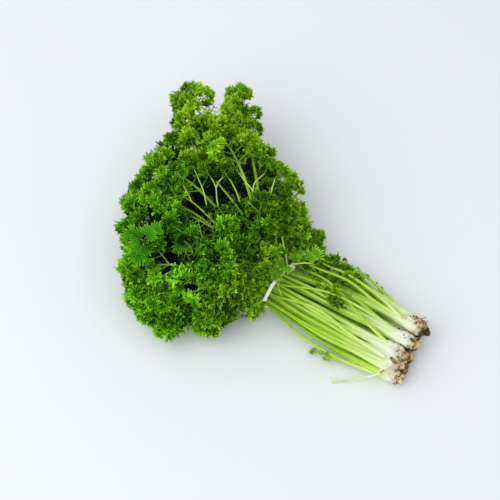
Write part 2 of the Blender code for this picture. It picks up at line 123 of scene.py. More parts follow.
# A leaf's rib, how far it arches, and the fans along it: place on it, angle from it, length of
# the fan's stem, radius and side. Where none is clear, a smaller one grows, EXTRA_FAN its size.
RIB = 34.0
RIB_BEND = 34.0
DRAWS = 90
MOST_FANS = 6
FANS = (
    (0.06, 66, 12, 10.8, 1), (0.06, 66, 12, 10.8, -1), (0.56, 54, 6, 10.4, 1), (0.56, 54, 6, 10.4, -1),
    (0.96, 0, 4, 11.5, 0), (0.3, 72, 7, 8.8, 1), (0.3, 72, 7, 8.8, -1),
)
EXTRA_FAN = 0.86

STALK_RADII = ((0.0, 2.2), (0.02, 3.2), (0.08, 3.0), (0.18, 2.15), (0.42, 1.55), (1.0, 1.0))
STALK_SIDES = 12
STALK_GROOVES = 6


# How some leaves differ from the rule: moved (mm), side fans folded along the rib, smaller, tone.
HABITS = {
    "plant_9_leaf_3": {"move": (0.5, -8, -3), "fold": 0.42, "tone": 0.50},
    "plant_1_leaf_1": {"move": (-6, 7, 0), "tone": 0.60},
    "plant_1_leaf_2": {"move": (-7, 7, 0), "tone": 0.60},
    "plant_6_leaf_1": {"move": (-3, 4, 0)},
    "plant_4_leaf_3": {"move": (0.3, 11, 0), "fold": 0.80},
    "plant_4_leaf_1": {"move": (9, -2, 0)},
    "plant_3_leaf_3": {"move": (4, 0, 0)},
    "plant_2_leaf_2": {"move": (4, 3, 0)},
    "plant_5_leaf_1": {"move": (-4, -3, 0), "tone": 0.64},
    "plant_5_leaf_3": {"move": (-8, -6, 0), "tone": 0.58},
    "plant_5_leaf_4": {"tone": 0.62},
    "plant_5_leaf_5": {"tone": 0.68},
    "plant_9_leaf_5": {"move": (-8, -6, 0), "tone": 0.58},
    "plant_9_leaf_6": {"move": (-3, -3, 0)},
    "plant_5_leaf_6": {"shrink": 0.52, "tone": 0.64, "move": (1, -3.5, 1)},
    "plant_5_leaf_7": {"shrink": 0.36, "tone": 0.74, "move": (0, -4, 2)},
    "plant_1_leaf_4": {"shrink": 0.56, "tone": 0.98, "move": (-6, 2, 2)},
    "plant_8_leaf_7": {"tone": 0.54, "move": (-1, -1, -6)},
}
# Sprays beside the leaves: foot, angle from -X, rise and radius of the leaflets.
SPRAYS = (
    ((-100, -24, 26), -14, 8, 10.5), ((-96, -36, 20), -22, 6, 10), ((-84, -45, 27), -34, 8, 10.5),
    ((-66, -54, 16), -42, 4, 10.5), ((-52, -62, 22), -62, 6, 10), ((-46, -70, 12), -96, 2, 9.5),
    ((-56, -70, 12), -70, 2, 9.5), ((-25, -50, 12), -100, 0, 9), ((-68, -66, 16), -44, 4, 10),
    ((-76, -62, 20), -34, 6, 10), ((-84, -55, 22), -26, 6, 10), ((-114, -17, 26), -8, 8, 9.5),
    ((-106, -31, 24), -14, 6, 9.5), ((-121, 0, 26), -2, 8, 9), ((-122, 12, 28), 10, 10, 9),
    ((-134, 68, 44), 26, 8, 9), ((-131, 60, 38), 12, 14, 9), ((-124, 50, 36), 4, 8, 10),
    ((-112, 44, 40), 30, 20, 10), ((-114, 60, 42), 28, 30, 9), ((-98, 66, 44), 14, 18, 9.5),
    ((-90, 62, 42), 70, 18, 9.5), ((-105, 85, 50), 56, 24, 7), ((-99, 82, 46), 60, 20, 7.5),
    ((-93, 76, 44), 62, 22, 8), ((-77, 65, 42), 62, 20, 9.5), ((-64, 63, 38), 70, 14, 9),
    ((3.5, 39, 18), 80, 10, 6.5), ((19.5, 31, 19), 140, 6, 4), ((28, 36, 18), 144, 6, 3.8),
    ((-46, -62, 10), -70, 30, 8.5), ((-52, -58, 12), -50, 40, 8.5), ((-62, -58, 12), -50, 30, 8.5),
    ((-62, -64, 9), -60, 24, 9), ((-66, -52, 14), -50, 30, 9), ((-112, 52, 34), 20, 30, 8.5),
    ((-119, 60, 36), 24, 26, 8), ((-128, 48, 30), 10, 20, 8), ((-135, 79, 48), 94, 10, 7.5),
    ((-142, 78, 48), 50, 12, 7), ((-84, 76, 46), 78, 20, 7.5), ((-93, 87, 48), 76, 20, 7),
    ((-94, 40, 34), 20, 24, 10), ((-104, 20, 32), 4, 24, 10), ((-88, -8, 38), -10, 20, 10),
)
# Upright sprays that close places where the table would show through: along and across.
UPRIGHT_SPRAYS = (
    (-85.9, 78.4), (-79.8, 76.8), (-143.9, 58.7), (-134.8, 62.8), (-119.3, -17.2), (-141.1, 22.5),
    (-110.9, 85.1), (-15, -32.9), (-80.7, 15.5), (-115.3, 40),
)
# Sprays low down, painted darker as painted shade, seen through the open place and through gaps among the
# leaves.
INNER_SPRAYS = (
    ((-112, 28, 14), 20, 30, 10), ((-104, 40, 16), 40, 30, 10), ((-96, 18, 14), 10, 34, 10.5),
    ((-92, 32, 12), 30, 40, 10.5), ((-80, 24, 14), 20, 40, 10), ((-86, 46, 14), 50, 34, 10.5),
    ((-70, 36, 14), 40, 40, 10), ((-74, 54, 16), 60, 34, 10), ((-58, 42, 16), 60, 36, 10),
    ((-92, 60, 18), 50, 30, 10), ((-62, 62, 18), 76, 30, 9.5), ((-104, 4, 14), 0, 30, 10),
    ((-92, -14, 16), -16, 30, 10), ((-72, 6, 18), 0, 40, 10), ((-52, -34, 16), -30, 30, 10),
    ((-36, -44, 14), -50, 30, 10), ((-20, -36, 12), -60, 20, 9), ((-118, 56, 22), 30, 24, 9.5),
    ((-84, 41, 26), 60, 44, 7.5), ((-72, 39, 27), 50, 50, 7.5), ((-86, 30, 26), 30, 50, 7.5),
    ((-93, 25, 26), 10, 50, 7.5), ((-66, 46, 27), 70, 50, 7.5), ((-60, 22, 24), 40, 44, 9),
    ((-50, 14, 24), 20, 50, 9), ((-44, 27, 22), 60, 44, 9), ((-84, 68, 22), 60, 34, 9),
    ((-76, 73, 20), 70, 30, 9), ((-84, -40, 14), -34, 30, 9.5), ((-91, 16, 20), 6, 50, 8),
    ((-80, 73, 14), 60, 50, 8.5), ((-88, 74, 10), 60, 30, 8.5), ((-114, -11, 10), -6, 40, 8.5),
    ((-82, -20, 8), -40, 50, 8.5), ((-88, -30, 8), -60, 50, 8.5), ((-88, -54, 8), -40, 35, 8.5),
    ((-66, 13, 10), 0, 60, 8.5), ((-82, -27, 3), 0, 85, 8), ((-73.5, -46.5, 4), 0, 85, 7),
    *(((x, y, 5), 0, 80, 7.5) for x, y in UPRIGHT_SPRAYS), ((-90, -50, 12), -30, 24, 8.5),
    ((-98, -34, 22), -20, 40, 8), ((-69, 27, 8), 20, 50, 10), ((-90, 12, 8), 0, 50, 10),
    ((-90, -8, 8), -10, 50, 10), ((-78, -38, 8), -30, 50, 10), ((-58, -10, 10), -10, 50, 10),
)
INNER_SHADE = -0.24
# Sprays at the tie.
TIE_SPRAYS = (
    ((-13, -16, 12), -66, 4, 7), ((-14, -10, 25), -40, 18, 8), ((-13, -3, 31), -20, 30, 8),
    ((-9, 8, 32), 60, 30, 8), ((-6, 15, 30), 76, 26, 8.5), ((-5, 22, 22), 80, 16, 8.5),
    ((6, 28, 13), 20, 20, 8), ((18, 32, 11), 10, 22, 8), ((30, 34, 10), 14, 20, 8),
    ((42, 34, 9), 8, 22, 7.5), ((30, 24, 16), 4, 24, 7.5), ((20, 20, 18), 0, 24, 7),
)
# Broad flat leaflets: foot, angle from -X, rise, length and tone.
FLAT_LEAFLETS = (
    ((-92.5, -44, 46.5), -8, 2, 19, 0.5), ((-92, -42.5, 47), 104, 8, 18, 0.58),
    ((-90.5, -45.5, 46), -112, -8, 20, 0.48), ((-72.5, -22.5, 46), -123, -14, 17, 0.38),
    ((-73, -22, 46.4), -10, 0, 13, 0.42), ((-72.5, -21.5, 46.7), 114, 6, 12, 0.44),
    ((-34, -14, 46.5), -44, 4, 13, 0.48), ((-40, 8, 50), 4, 8, 13, 0.46),
    ((2.5, 7.5, 35.5), -72, 0, 16, 0.84), ((-1, 1.5, 34.5), -110, -10, 11, 0.78),
    ((4, 13, 33.5), 74, 2, 12, 0.76), ((8, 17, 31.5), 26, 8, 13, 0.68), ((9, 21, 29.5), 110, -6, 16, 0.8),
    ((-1.5, -19, 17), -100, -14, 15, 0.86), ((-5, -20, 15), -50, -8, 14, 0.78),
)
# Places open towards the sky and the front: at the tie, between fronds, and in the outline.
# Each has a middle, a radius, and how far below the middle it reaches.
OPEN_PLACES = (
    ((0, -8, 26), 6.5, -2), ((-0.5, -13, 20.5), 7.5, -2), ((-1, -18, 14), 7, -2),
    ((-59.4, -9.5, 48), 9.5, 24), ((-68.7, -41.2, 44), 9.5, 24), ((-57.8, -35.9, 46), 7, 24),
    ((-20.6, -13.8, 40), 8.5, 22), ((-12.4, -22.5, 34), 7, 20), ((-38.4, -50.9, 40), 7, 22),
    ((-102.1, -26.3, 44), 4.5, 20), ((-17.6, 9.8, 40), 6.5, 20), ((-31.5, -70.4, 8), 7, 30),
    ((-6.5, -40.8, 8), 8, 30), ((3, -34, 8), 7, 30), ((-124.5, 93.5, 52), 6.5, 60),
    ((-98, 114, 52), 7, 60), ((-8.9, 56.5, 16), 5, 30), ((-33, 65, 20), 5, 30),
    ((-136.5, 83.5, 50), 4, 60), ((20.1, 46.5, 15), 5, 30), ((32.8, 48, 15), 5, 30),
)
# Thin stalks that lie over and under the others: the plant they leave, and their route.
THIN_STALKS = (
    ("plant_8", (99, 14, 19), (74, 13, 26), (38, 9, 27.5), (8, -2, 22.5), (-4, -4, 20.5)),
    ("plant_7", (100, 2, 19), (68, 7, 25), (34, 17, 26), (6, 18, 22)),
    ("plant_9", (97, 25, 19), (72, 29, 24.5), (42, 31, 26), (14, 30, 22)),
    ("plant_9", (97, 27, 18), (70, 24, 24.5), (44, 26, 27), (10, 21, 26)),
    ("plant_9", (97, 31, 17), (74, 37.5, 17), (44, 42, 19), (8, 39, 20)),
    ("plant_5", (94, 32, 8), (66, 38, 13), (40, 39, 16), (8, 34, 16)),
    ("plant_5", (92, 31, 9), (66, 33, 9), (36, 32, 9), (4, 26, 9)),
    ("plant_6", (99, -9, 22), (70, -9, 23.5), (38, -6, 24.5), (8, -11, 18), (-4, -12, 16)),
    ("plant_6", (99, -11, 20), (68, -16, 21), (34, -18, 18), (5, -15.5, 11.5)),
    ("plant_1", (100, -16, 7), (70, -22.3, 7), (35, -23.2, 7.5), (2, -17.8, 9)),
    ("plant_4", (94, 20, 6), (62, 22, 5), (30, 17, 5), (2, 14, 5)),
    ("plant_3", (96, 9, 6), (64, 11, 5), (32, 7, 5), (2, 4, 5)),
    ("plant_2", (98, -4, 6), (64, -8, 5), (32, -8, 5), (2, -6, 5)),
)
# Bare stems that fork across the open place, pale against the dark inside.
FORKS = (
    ((-57.7, -0.6, 44), (-70, 1.5, 47), (-83.1, 3.2, 48), (-103.2, 3.3, 48)),
    ((-83.1, 3.2, 48), (-92, 8, 49), (-99, 12, 49)),
    ((-64, 1, 44), (-72, 7, 47), (-83, 16.8, 48), (-102, 29.5, 48)),
    ((-60, 9, 42), (-69, 15.7, 47), (-76.2, 24, 48), (-84.5, 29.5, 48)),
    ((-76.2, 24, 48), (-77.5, 29, 49), (-78, 35.5, 48)),
    ((-42.2, 26.1, 43), (-51.4, 37.5, 48), (-62, 41, 50), (-72.5, 46.5, 48)),
    ((-51.4, 37.5, 48), (-54.5, 44, 50), (-54, 55, 49)),
    ((-34.5, 29.5, 42), (-38.9, 42, 48), (-44.5, 56, 49)),
    ((-50.6, 22.3, 42), (-61, 30, 47), (-73, 37, 48)), ((-104, 66, 46), (-119, 76, 49), (-131, 78, 50)),
    ((-104, 66, 46), (-112, 80, 50), (-113, 92, 51)), ((-22.3, 8.7, 46), (-12, 4, 43), (-2, -2, 35)),
    ((-11.3, 18.8, 46), (-4, 12, 42), (4, 5, 35)), ((-3, 2, 34), (1, -6, 32), (11, -13, 26)),
    ((4, 9, 34.5), (12, 18, 32), (17, 22, 29)),
)
# Small tufts at the ends of the forks.
FORK_TUFTS = (
    ((-100, 3.3, 47), 4), ((-99, 12, 47), 14), ((-102, 29.5, 47), 30), ((-84.5, 29.5, 46), 26),
    ((-78, 35.5, 46), 84), ((-72.5, 46.5, 47), 34), ((-54, 55, 48), 92), ((-44.5, 56, 48), 70),
    ((-73, 37, 46), 32),
)
TUFT_RADIUS = 6.5
FORK_RADII = (0.66, 0.40)
SPRAY_STEM = 5.0


def between(table, x):
    """The value at x, on straight lines between the table's (x, value) pairs."""
    for (x0, low), (x1, high) in zip(table, table[1:]):
        if x <= x1:
            return low + (high - low) * max(0.0, (x - x0) / (x1 - x0))
    return table[-1][1]


def seeded(*words):
    """Random draws that are the same at every run for the same words."""
    return random.Random(" ".join(str(word) for word in words))


def noise_place(draw):
    """A random place in the noise, so that no two lumps are alike."""
    return Vector([draw.uniform(0, 90) for _ in range(3)])


def upper_side(axis):
    """The normal of the upper side of something flat that lies along an axis."""
    return axis.cross(UP.cross(axis)).normalized()


def rim_way(draw, along):
    """A random way out from the middle of a crown, square to the way it points."""
    turn = draw.uniform(0.0, 2 * math.pi)
    aside = along.cross(UP).normalized()
    return aside * math.cos(turn) + aside.cross(along) * math.sin(turn)


def streak_grain(runs, around, width=2.0):
    """Where the points of a bar are for its streaks: along it and round it."""
    return np.stack([runs, np.cos(around) * width, np.sin(around) * width], axis=1)


# ---------------------------------------------------------------- meshes


class Growth:
    """Points and triangles of one piece as they are added, with what its materials need to know."""

    def __init__(self):
        self.points, self.faces, self.tone, self.grain, self.finish = [], [], [], [], []
        self.count = 0

    def add(self, points, faces, tone, grain, finish=0):
        """tone is one number a point, grain is three, and finish is the number of the material."""
        self.points.append(np.asarray(points, float))
        self.faces.append(np.asarray(faces, int) + self.count)
        self.tone.append(np.broadcast_to(tone, len(points)).astype(float))
        self.grain.append(np.broadcast_to(grain, (len(points), 3)).astype(float))
        self.finish.append(np.full(len(faces), finish))
        self.count += len(points)

    def piece(self, name, materials, crease=None):
        """A mesh object of all that was added, in metres from the tie's place."""
        points = np.concatenate(self.points) * MM + np.array(TIE)
        points[:, 2] = np.maximum(points[:, 2], 0.0)
        faces = np.concatenate(self.faces)
        mesh = bpy.data.meshes.new(name)
        mesh.vertices.add(len(points))
        mesh.vertices.foreach_set("co", points.ravel())
        mesh.loops.add(faces.size)
        mesh.loops.foreach_set("vertex_index", faces.ravel())
        mesh.polygons.add(len(faces))
        mesh.polygons.foreach_set("loop_start", np.arange(0, faces.size, 3))
        mesh.polygons.foreach_set("material_index", np.concatenate(self.finish))
        for material in materials:
            mesh.materials.append(material)
        mesh.update(calc_edges=True)
        mesh.validate()
        tone = mesh.attributes.new("tone", "FLOAT", "POINT")
        tone.data.foreach_set("value", np.concatenate(self.tone))
        grain = mesh.attributes.new("grain", "FLOAT_VECTOR", "POINT")
        grain.data.foreach_set("vector", np.concatenate(self.grain).ravel())
        mesh.polygons.foreach_set("use_smooth", np.ones(len(faces), bool))
        if crease:
            mesh.set_sharp_from_angle(angle=math.radians(crease))
        made = bpy.data.objects.new(name, mesh)
        bpy.context.scene.collection.objects.link(made)
        return made


def smooth_path(points, steps):
    """Points of a smooth curve through the given ones, with steps points in each stretch."""
    p = [Vector(q) for q in points]
    p = [p[0] * 2 - p[1]] + p + [p[-1] * 2 - p[-2]]
    made = []
    for a, b, c, d in zip(p, p[1:], p[2:], p[3:]):
        for i in range(steps):
            t = i / steps
            bend = (a * 2 - b * 5 + c * 4 - d) * (t * t) + (b * 3 - a - c * 3 + d) * (t * t * t)
            made.append((b * 2 + (c - a) * t + bend) / 2)
    return made + [p[-2]]


STEEP = 0.9


def tube(path, radii, sides=6, grooves=0, depth=0.0, flat=None):
    """Points, triangles, distances along and angles of a round bar with closed ends."""
    path = [Vector(p) for p in path]
    ways = [(b - a).normalized() for a, b in zip(path, path[1:])]
    ways = [ways[0]] + [(a + b).normalized() for a, b in zip(ways, ways[1:])] + [ways[-1]]
    up = UP if abs(ways[0].z) <= STEEP else Vector((1, 0, 0))
    side = ways[0].cross(up).normalized()
    angles = np.arange(sides) * (2 * math.pi / sides)
    ridge = 1.0 + depth * np.cos(grooves * angles)
    points, runs, run = [], [], 0.0
    for n, (place, way, radius) in enumerate(zip(path, ways, radii)):
        side = (side - way * side.dot(way)).normalized()
        over = way.cross(side)
        wide = flat[n] if flat else 1.0
        run += (place - path[n - 1]).length if n else 0.0
        ring = np.outer(np.cos(angles) * ridge * radius * wide, side)
        ring += np.outer(np.sin(angles) * ridge * radius / wide, over)
        points.append(ring + np.array(place))
        runs.append(np.full(sides, run))
    points.append(np.array([path[0], path[-1]]))
    runs.append(np.array([0.0, run]))
    faces = []
    for n in range(len(path) - 1):
        for k in range(sides):
            a, b = n * sides + k, n * sides + (k + 1) % sides
            faces += [(a, b, b + sides), (a, b + sides, a + sides)]
    first, last = len(path) * sides, len(path) * sides + 1
    for k in range(sides):
        a, b = k, (k + 1) % sides
        faces += [(first, b, a), (last, a + first - sides, b + first - sides)]
    around = np.concatenate([np.tile(angles, len(path)), [0.0, 0.0]])
    return np.concatenate(points), faces, np.concatenate(runs), around


# ---------------------------------------------------------------- leaflets

LOBES = ((-54.0, 0.88, 3), (0.0, 1.0, 3), (54.0, 0.88, 3))
TOOTH_WIDTH = 18.5
MIDDLE_RING = 0.50
LEAFLET_THICKNESS = 0.035
CURLED_SHAPES = 40
FLAT_SHAPES = 12
FLAT_SPREAD = 0.70


def leaflet_shape(number):
    """Points, triangles and tones of a leaflet one unit long: three lobes, each with blunt teeth. The tones
    are painted light on the tooth tips and painted shade in the notches.
    """
    draw = seeded("leaflet", number)
    flat = number >= CURLED_SHAPES
    curl = draw.uniform(-0.5, 0.3) if flat else draw.uniform(-0.6, 1.5)
    fold = draw.uniform(-0.1, 0.25) if flat else draw.uniform(-0.30, 0.35)
    ruffle = draw.uniform(0.05, 0.12) if flat else draw.uniform(0.14, 0.30)
    crisp = 0.08 if flat else 0.15
    spread = FLAT_SPREAD if flat else 1.0
    waves = draw.uniform(4.4, 7.4)
    phase = draw.uniform(0.0, 2 * math.pi)
    angles, outs, lifts, tones, lobes = [], [], [], [], []
    for lobe, (turn, length, teeth) in enumerate(LOBES):
        length *= draw.uniform(0.90, 1.06)
        for tooth in range(teeth):
            from_middle = abs(tooth - (teeth - 1) / 2) / teeth
            tip = length * (1.10 - 0.36 * from_middle) * draw.uniform(0.92, 1.08)
            inner, outer = ((0.58, 0.72), 0.34) if flat else ((0.72, 0.84), 0.50)
            notch = length * (draw.uniform(*inner) if tooth else outer)
            start = spread * (turn + (tooth - teeth / 2) * TOOTH_WIDTH)
            lift = draw.uniform(-crisp, crisp * 1.3)
            steps = [share + draw.uniform(-0.04, 0.04) for share in (0.0, 0.30, 0.70)]
            angles += [start + spread * TOOTH_WIDTH * step for step in steps]
            outs += [notch, tip * draw.uniform(0.90, 1.0), tip * draw.uniform(0.90, 1.0)]
            lifts += [-0.02, lift, lift]
            # Notches 0 and tooth tips 1: painted shade in the notches and painted light on the tips.
            tones += [0.0, 1.0, 1.0]
            lobes += [lobe] * 3
    angles.append(spread * (LOBES[-1][0] + 0.5 * LOBES[-1][2] * TOOTH_WIDTH))
    outs.append(0.46 * LOBES[-1][1])
    lifts.append(0.0)
    tones.append(0.0)
    angles, outs, lifts, tones = np.radians(angles), np.array(outs), np.array(lifts), np.array(tones)

    def bowl(turns, out, lift):
        arc = curl * out
        across = np.sin(arc) / curl
        high = (1 - np.cos(arc)) / curl + ruffle * out ** 2 * np.cos(waves * turns + phase) + lift
        high = high + fold * np.abs(np.sin(turns)) * out
        return np.stack([across * np.cos(turns), across * np.sin(turns), high], axis=1)

    count = len(angles)
    lobe_turns = np.radians([turn * spread for turn, *_ in LOBES])
    rim = bowl(angles, outs, lifts)
    top = bowl(angles, np.full(count, MIDDLE_RING), 0.0)
    under = bowl(lobe_turns, np.full(len(LOBES), MIDDLE_RING), -LEAFLET_THICKNESS)
    points = np.concatenate([np.zeros((1, 3)), rim, top, under])
    rims, tops = np.arange(count) + 1, np.arange(count) + 1 + count
    unders = np.arange(len(LOBES)) + 1 + 2 * count
    faces = []
    for a in range(count - 1):
        b, below = a + 1, unders[lobes[a]]
        faces += [(0, tops[a], tops[b]), (tops[a], rims[a], rims[b]), (tops[a], rims[b], tops[b])]
        faces.append((below, rims[b], rims[a]))
        if a and lobes[a] != lobes[a - 1]:
            faces += [(unders[lobes[a - 1]], below, rims[a]), (0, below, unders[lobes[a - 1]])]
    faces += [(0, unders[0], tops[0]), (tops[0], unders[0], rims[0])]
    faces += [(0, tops[-1], unders[-1]), (tops[-1], rims[-1], unders[-1])]
    tone = np.concatenate([[0.0], tones, tones * 0.2, [0.1] * len(LOBES)])
    edge = np.concatenate([[0.0], outs, np.full(count + len(LOBES), MIDDLE_RING)])
    return points, np.array(faces), tone, edge


SHAPES = [leaflet_shape(number) for number in range(CURLED_SHAPES + FLAT_SHAPES)]

# The open place in the middle of the leaves: its middle, the way it opens, its long way and half
# sizes, and how much darker the leaves round it are painted, as painted shade, out to how many times its
# size.
HOLLOW = Vector((-71.5, 24.0, 45.0))
HOLLOW_WAY = Vector((0.31, -0.43, 0.85)).normalized()
HOLLOW_LONG = Vector((0.81, 0.59, 0.0)).normalized()
HOLLOW_SIZES = (29.0, 13.0, 9.0)
HOLLOW_SHADE = 0.34
HOLLOW_REACH = 2.0


def hollow_share(place):
    """How far a place is from the middle of the hollow across it, 1 at its rim, and how high over it."""
    off = place - HOLLOW
    along, wide = off.dot(HOLLOW_LONG), off.dot(HOLLOW_WAY.cross(HOLLOW_LONG))
    return math.hypot(along / HOLLOW_SIZES[0], wide / HOLLOW_SIZES[1]), off.dot(HOLLOW_WAY)


def in_hollow(place):
    """Whether a place is in the open part of the bunch, where only bare stems cross."""
    share, high = hollow_share(place)
    return share < 1.0 and high > -HOLLOW_SIZES[2]


def in_open_place(place):
    """Whether a place is in one of the smaller openings, and how shaded it is under or beside one."""
    shade = 0.0
    for middle, radius, depth in OPEN_PLACES:
        off = place - Vector(middle)
        high = off.dot(HOLLOW_WAY)
        away = (off - HOLLOW_WAY * high).length / radius
        if away < 1.0 and high > -depth:
            return True, 0.0
        if GAP_DEPTHS[0] <= depth <= GAP_DEPTHS[1] and high < 0.0:
            shade = max(shade, 1.0 - away / GAP_REACH)
    return False, shade


# Where the leaves' dome has its middle on the table, and how far it reaches. The deeper a leaflet
# is in it, the darker it is painted, as painted shade, which fades out towards the tie.
DOME = Vector((-20.0, 3.0, 0.0))
DOME_SIZES = (138.0, 85.0, 66.0)
DOME_END = -4.0
DOME_FADE = 20.0
DOME_DEPTHS = (0.72, 1.06)
# Painted shade: how much darker leaflets deep in the dome, and where the clump noise is low, are painted.
DEPTH_MIDDLE, DEPTH_SHADE, CLUMP_SHADE = 0.91, 0.95, 0.46
# Painted light: how much lighter the leaves at the front edge are painted, and from where to where.
FRONT_PAINTED_LIGHT = 0.11
FRONT_SHARES = ((-60.0, 1.0), (-36.0, 0.0))
# Gaps between clumps of leaflets, only near the outside and well above the table, and how shaded
# the leaflets are that lie under and beside the open places that go this deep.
CLUMPS = 0.062
CLUMP_GAP = -0.30
GAP_DEPTH = 0.78
GAP_FLOOR = 23.0
GAP_DEPTHS = (20.0, 24.0)
GAP_REACH = 2.0
GAP_SHADE = 0.75
# How far above the table the lowest leaflets lie.
CLEARANCE = 0.3


def add_leaflet(growth, place, along, face, length, draw, tone, flat=False, finish=0):
    """One leaflet at a place, along a direction, its face to a normal, turned a little at random."""
    number = draw.randrange(CURLED_SHAPES)
    if flat:
        number = CURLED_SHAPES + number % FLAT_SHAPES
    points, faces, tip_light, edge = SHAPES[number]
    along = along.normalized()
    across = face.cross(along).normalized()
    axes = Matrix((along, across, along.cross(across))).transposed()
    steep = 0.3 if flat else 1.0
    pitch = math.radians(draw.uniform(-15.0, 55.0) * steep)
    roll = math.radians(draw.uniform(-45.0, 45.0) * steep)
    off = place - DOME
    outward = math.hypot(*(distance / size for distance, size in zip(off, DOME_SIZES)))
    clump = noise.noise(place * CLUMPS)
    is_gap = clump < CLUMP_GAP and outward > GAP_DEPTH and place.z > GAP_FLOOR
    is_open, shade = in_open_place(place)
    if in_hollow(place) or (not flat and (is_open or is_gap)):
        return
    axes = axes @ Matrix.Rotation(roll, 3, "X") @ Matrix.Rotation(-pitch, 3, "Y")
    width = draw.uniform(0.88, 1.12)
    scaled = points * (length, length * width, length)
    moved = scaled @ np.array(axes).T + np.array(place)
    moved[:, 2] -= min(0.0, moved[:, 2].min() - CLEARANCE)
    # Painted shade: darker deep in the dome and where the clump noise is low.
    if not flat:
        dome_share = min(max(outward, DOME_DEPTHS[0]), DOME_DEPTHS[1])
        depth = DEPTH_SHADE * (dome_share - DEPTH_MIDDLE) + CLUMP_SHADE * clump
        # Painted shade round the hollow and under and beside the deep open places.
        near_hollow = max(0.0, 1.0 - hollow_share(place)[0] / HOLLOW_REACH)
        depth -= HOLLOW_SHADE * near_hollow + GAP_SHADE * shade
        inside = (DOME_END - place.x - max(0.0, place.y - 10.0)) / DOME_FADE
        # Painted light: leaflets along the front edge are painted lighter.
        tone += depth * min(max(inside, 0.0), 1.0) + FRONT_PAINTED_LIGHT * between(FRONT_SHARES, place.y)
    # A leaflet's grain holds its tone, its distance out and its tip tone, which carry the painted light and
    # shade.
    grain = np.stack([np.full(len(points), tone), edge, tip_light], axis=1)
    growth.add(moved, faces, tone, grain, finish)


def add_stem(growth, points, radii, tone, steps=2):
    """A thin stem inside a leaf, in the stalks' material."""
    path = smooth_path(points, steps)
    for point in path:
        point.z = max(point.z, radii[0] + CLEARANCE)
    spread = [between([(0.0, radii[0]), (1.0, radii[1])], n / (len(path) - 1)) for n in range(len(path))]
    ring, faces, run, around = tube(path, spread, 5)
    growth.add(ring, faces, tone, streak_grain(run, around, 1.0), 1)


# ---------------------------------------------------------------- leaves


def direction(plan, rise):
    """Unit vector at an angle from -X in plan and an angle above the table, in degrees."""
    p, r = math.radians(plan), math.radians(rise)
    return Vector((-math.cos(p) * math.cos(r), math.sin(p) * math.cos(r), math.sin(r)))


def rib_point(leaf, share):
    """A point of the arched rib, with the way it points and its normal there."""
    bend = math.radians(RIB_BEND)
    a, r = bend * share, leaf["rib"] / bend
    forward, normal = leaf["forward"], leaf["normal"]
    point = leaf["base"] + forward * (r * math.sin(a)) + normal * (r * (math.cos(a) - 1))
    return point, forward * math.cos(a) - normal * math.sin(a), normal * math.cos(a) + forward * math.sin(a)


def fan_frame(leaf, number, attempt):
    """Foot, axis, normal and stem length of one fan."""
    at, angle, stem, radius, side = FANS[number]
    origin, along, up = rib_point(leaf, at)
    draw = seeded(leaf["name"], number, attempt)
    stray = 14.0 + 60.0 * attempt / DRAWS
    turn = draw.uniform(-0.4, 0.4) * stray * (1.0 if side else 1.6)
    axis = along.copy()
    axis.rotate(Matrix.Rotation(math.radians(angle * side * leaf["fold"] + turn), 3, up))
    across = up.cross(axis).normalized()
    pitch = math.radians(draw.uniform(-1.0, 1.1) * stray + 6.0)
    axis.rotate(Matrix.Rotation(-pitch, 3, across))
    face = axis.cross(across)
    face.rotate(Matrix.Rotation(math.radians(draw.uniform(-stray, stray)), 3, axis))
    return origin, axis, face, stem * draw.uniform(0.75, 1.25)


TIP_ANGLES = (-52.0, 0.0, 52.0)
# Side stems of a cluster: place, angle, reach, the leaflets' angles, and how much lighter they are painted,
# as painted shade low in the cluster and painted light further out.
SIDE_STEMS = ((0.20, 68.0, 0.66, (-52.0, 0.0, 50.0), -0.10), (0.62, 54.0, 0.46, (-30.0, 34.0), 0.02))
LEAFLET_LENGTH = 0.80
STEM_TONE = 0.76


def turned(way, axis, degrees):
    made = way.copy()
    made.rotate(Matrix.Rotation(math.radians(degrees), 3, axis))
    return made


def add_cluster(growth, foot, axis, face, stem, radius, tone, draw, flat=False):
    """Leaflets as they grow: a stem with side stems, and toothed leaflets at the ends of all."""
    length = stem + radius
    if in_hollow(foot + axis * (length * 0.7)):
        return

    def spot(share):
        return foot + axis * (length * share) + face * (radius * 0.22 * share * share)

    def leaflets(place, way, turns, low, high, lit):
        for turn in turns:
            size = radius * LEAFLET_LENGTH * draw.uniform(low, high)
            shade = tone + lit + draw.uniform(-0.10, 0.12)
            out = turned(way, face, turn + draw.uniform(-11.0, 11.0))
            add_leaflet(growth, place, out, face, size, draw, shade, flat)

    add_stem(growth, [foot, spot(0.5), spot(1.0)], (0.06 * radius, 0.30), STEM_TONE)
    # The leaflets at the tip are painted lighter, as painted light on the top of the cluster.
    leaflets(spot(0.94), axis, TIP_ANGLES, 0.85, 1.1, 0.10)
    for share, angle, reach, turns, lit in SIDE_STEMS:
        for side in (-1, 1):
            root = spot((stem + radius * (0.15 + share)) / length)
            way = turned(axis, face, angle * side + draw.uniform(-8.0, 8.0))
            end = root + way * (radius * reach) + face * (radius * draw.uniform(-0.08, 0.30))
            add_stem(growth, [root, root.lerp(end, 0.5) + way * 0.2, end], (0.34, 0.24), STEM_TONE, 1)
            leaflets(end, way, [turn * side for turn in turns], 0.78, 1.05, lit)


def add_fan(growth, leaf, number, attempt, shrink):
    """A fan of the leaf, with leaflets over all of it."""
    foot, axis, face, stem = fan_frame(leaf, number, attempt)
    size = leaf["size"] * (1.0 - 0.25 * attempt / DRAWS) * shrink * leaf["shrink"]
    draw = seeded("fan", leaf["name"], number)
    tone = leaf["tone"] + draw.uniform(-0.12, 0.12)
    add_cluster(growth, foot, axis, face, stem * size, FANS[number][3] * size, tone, draw)


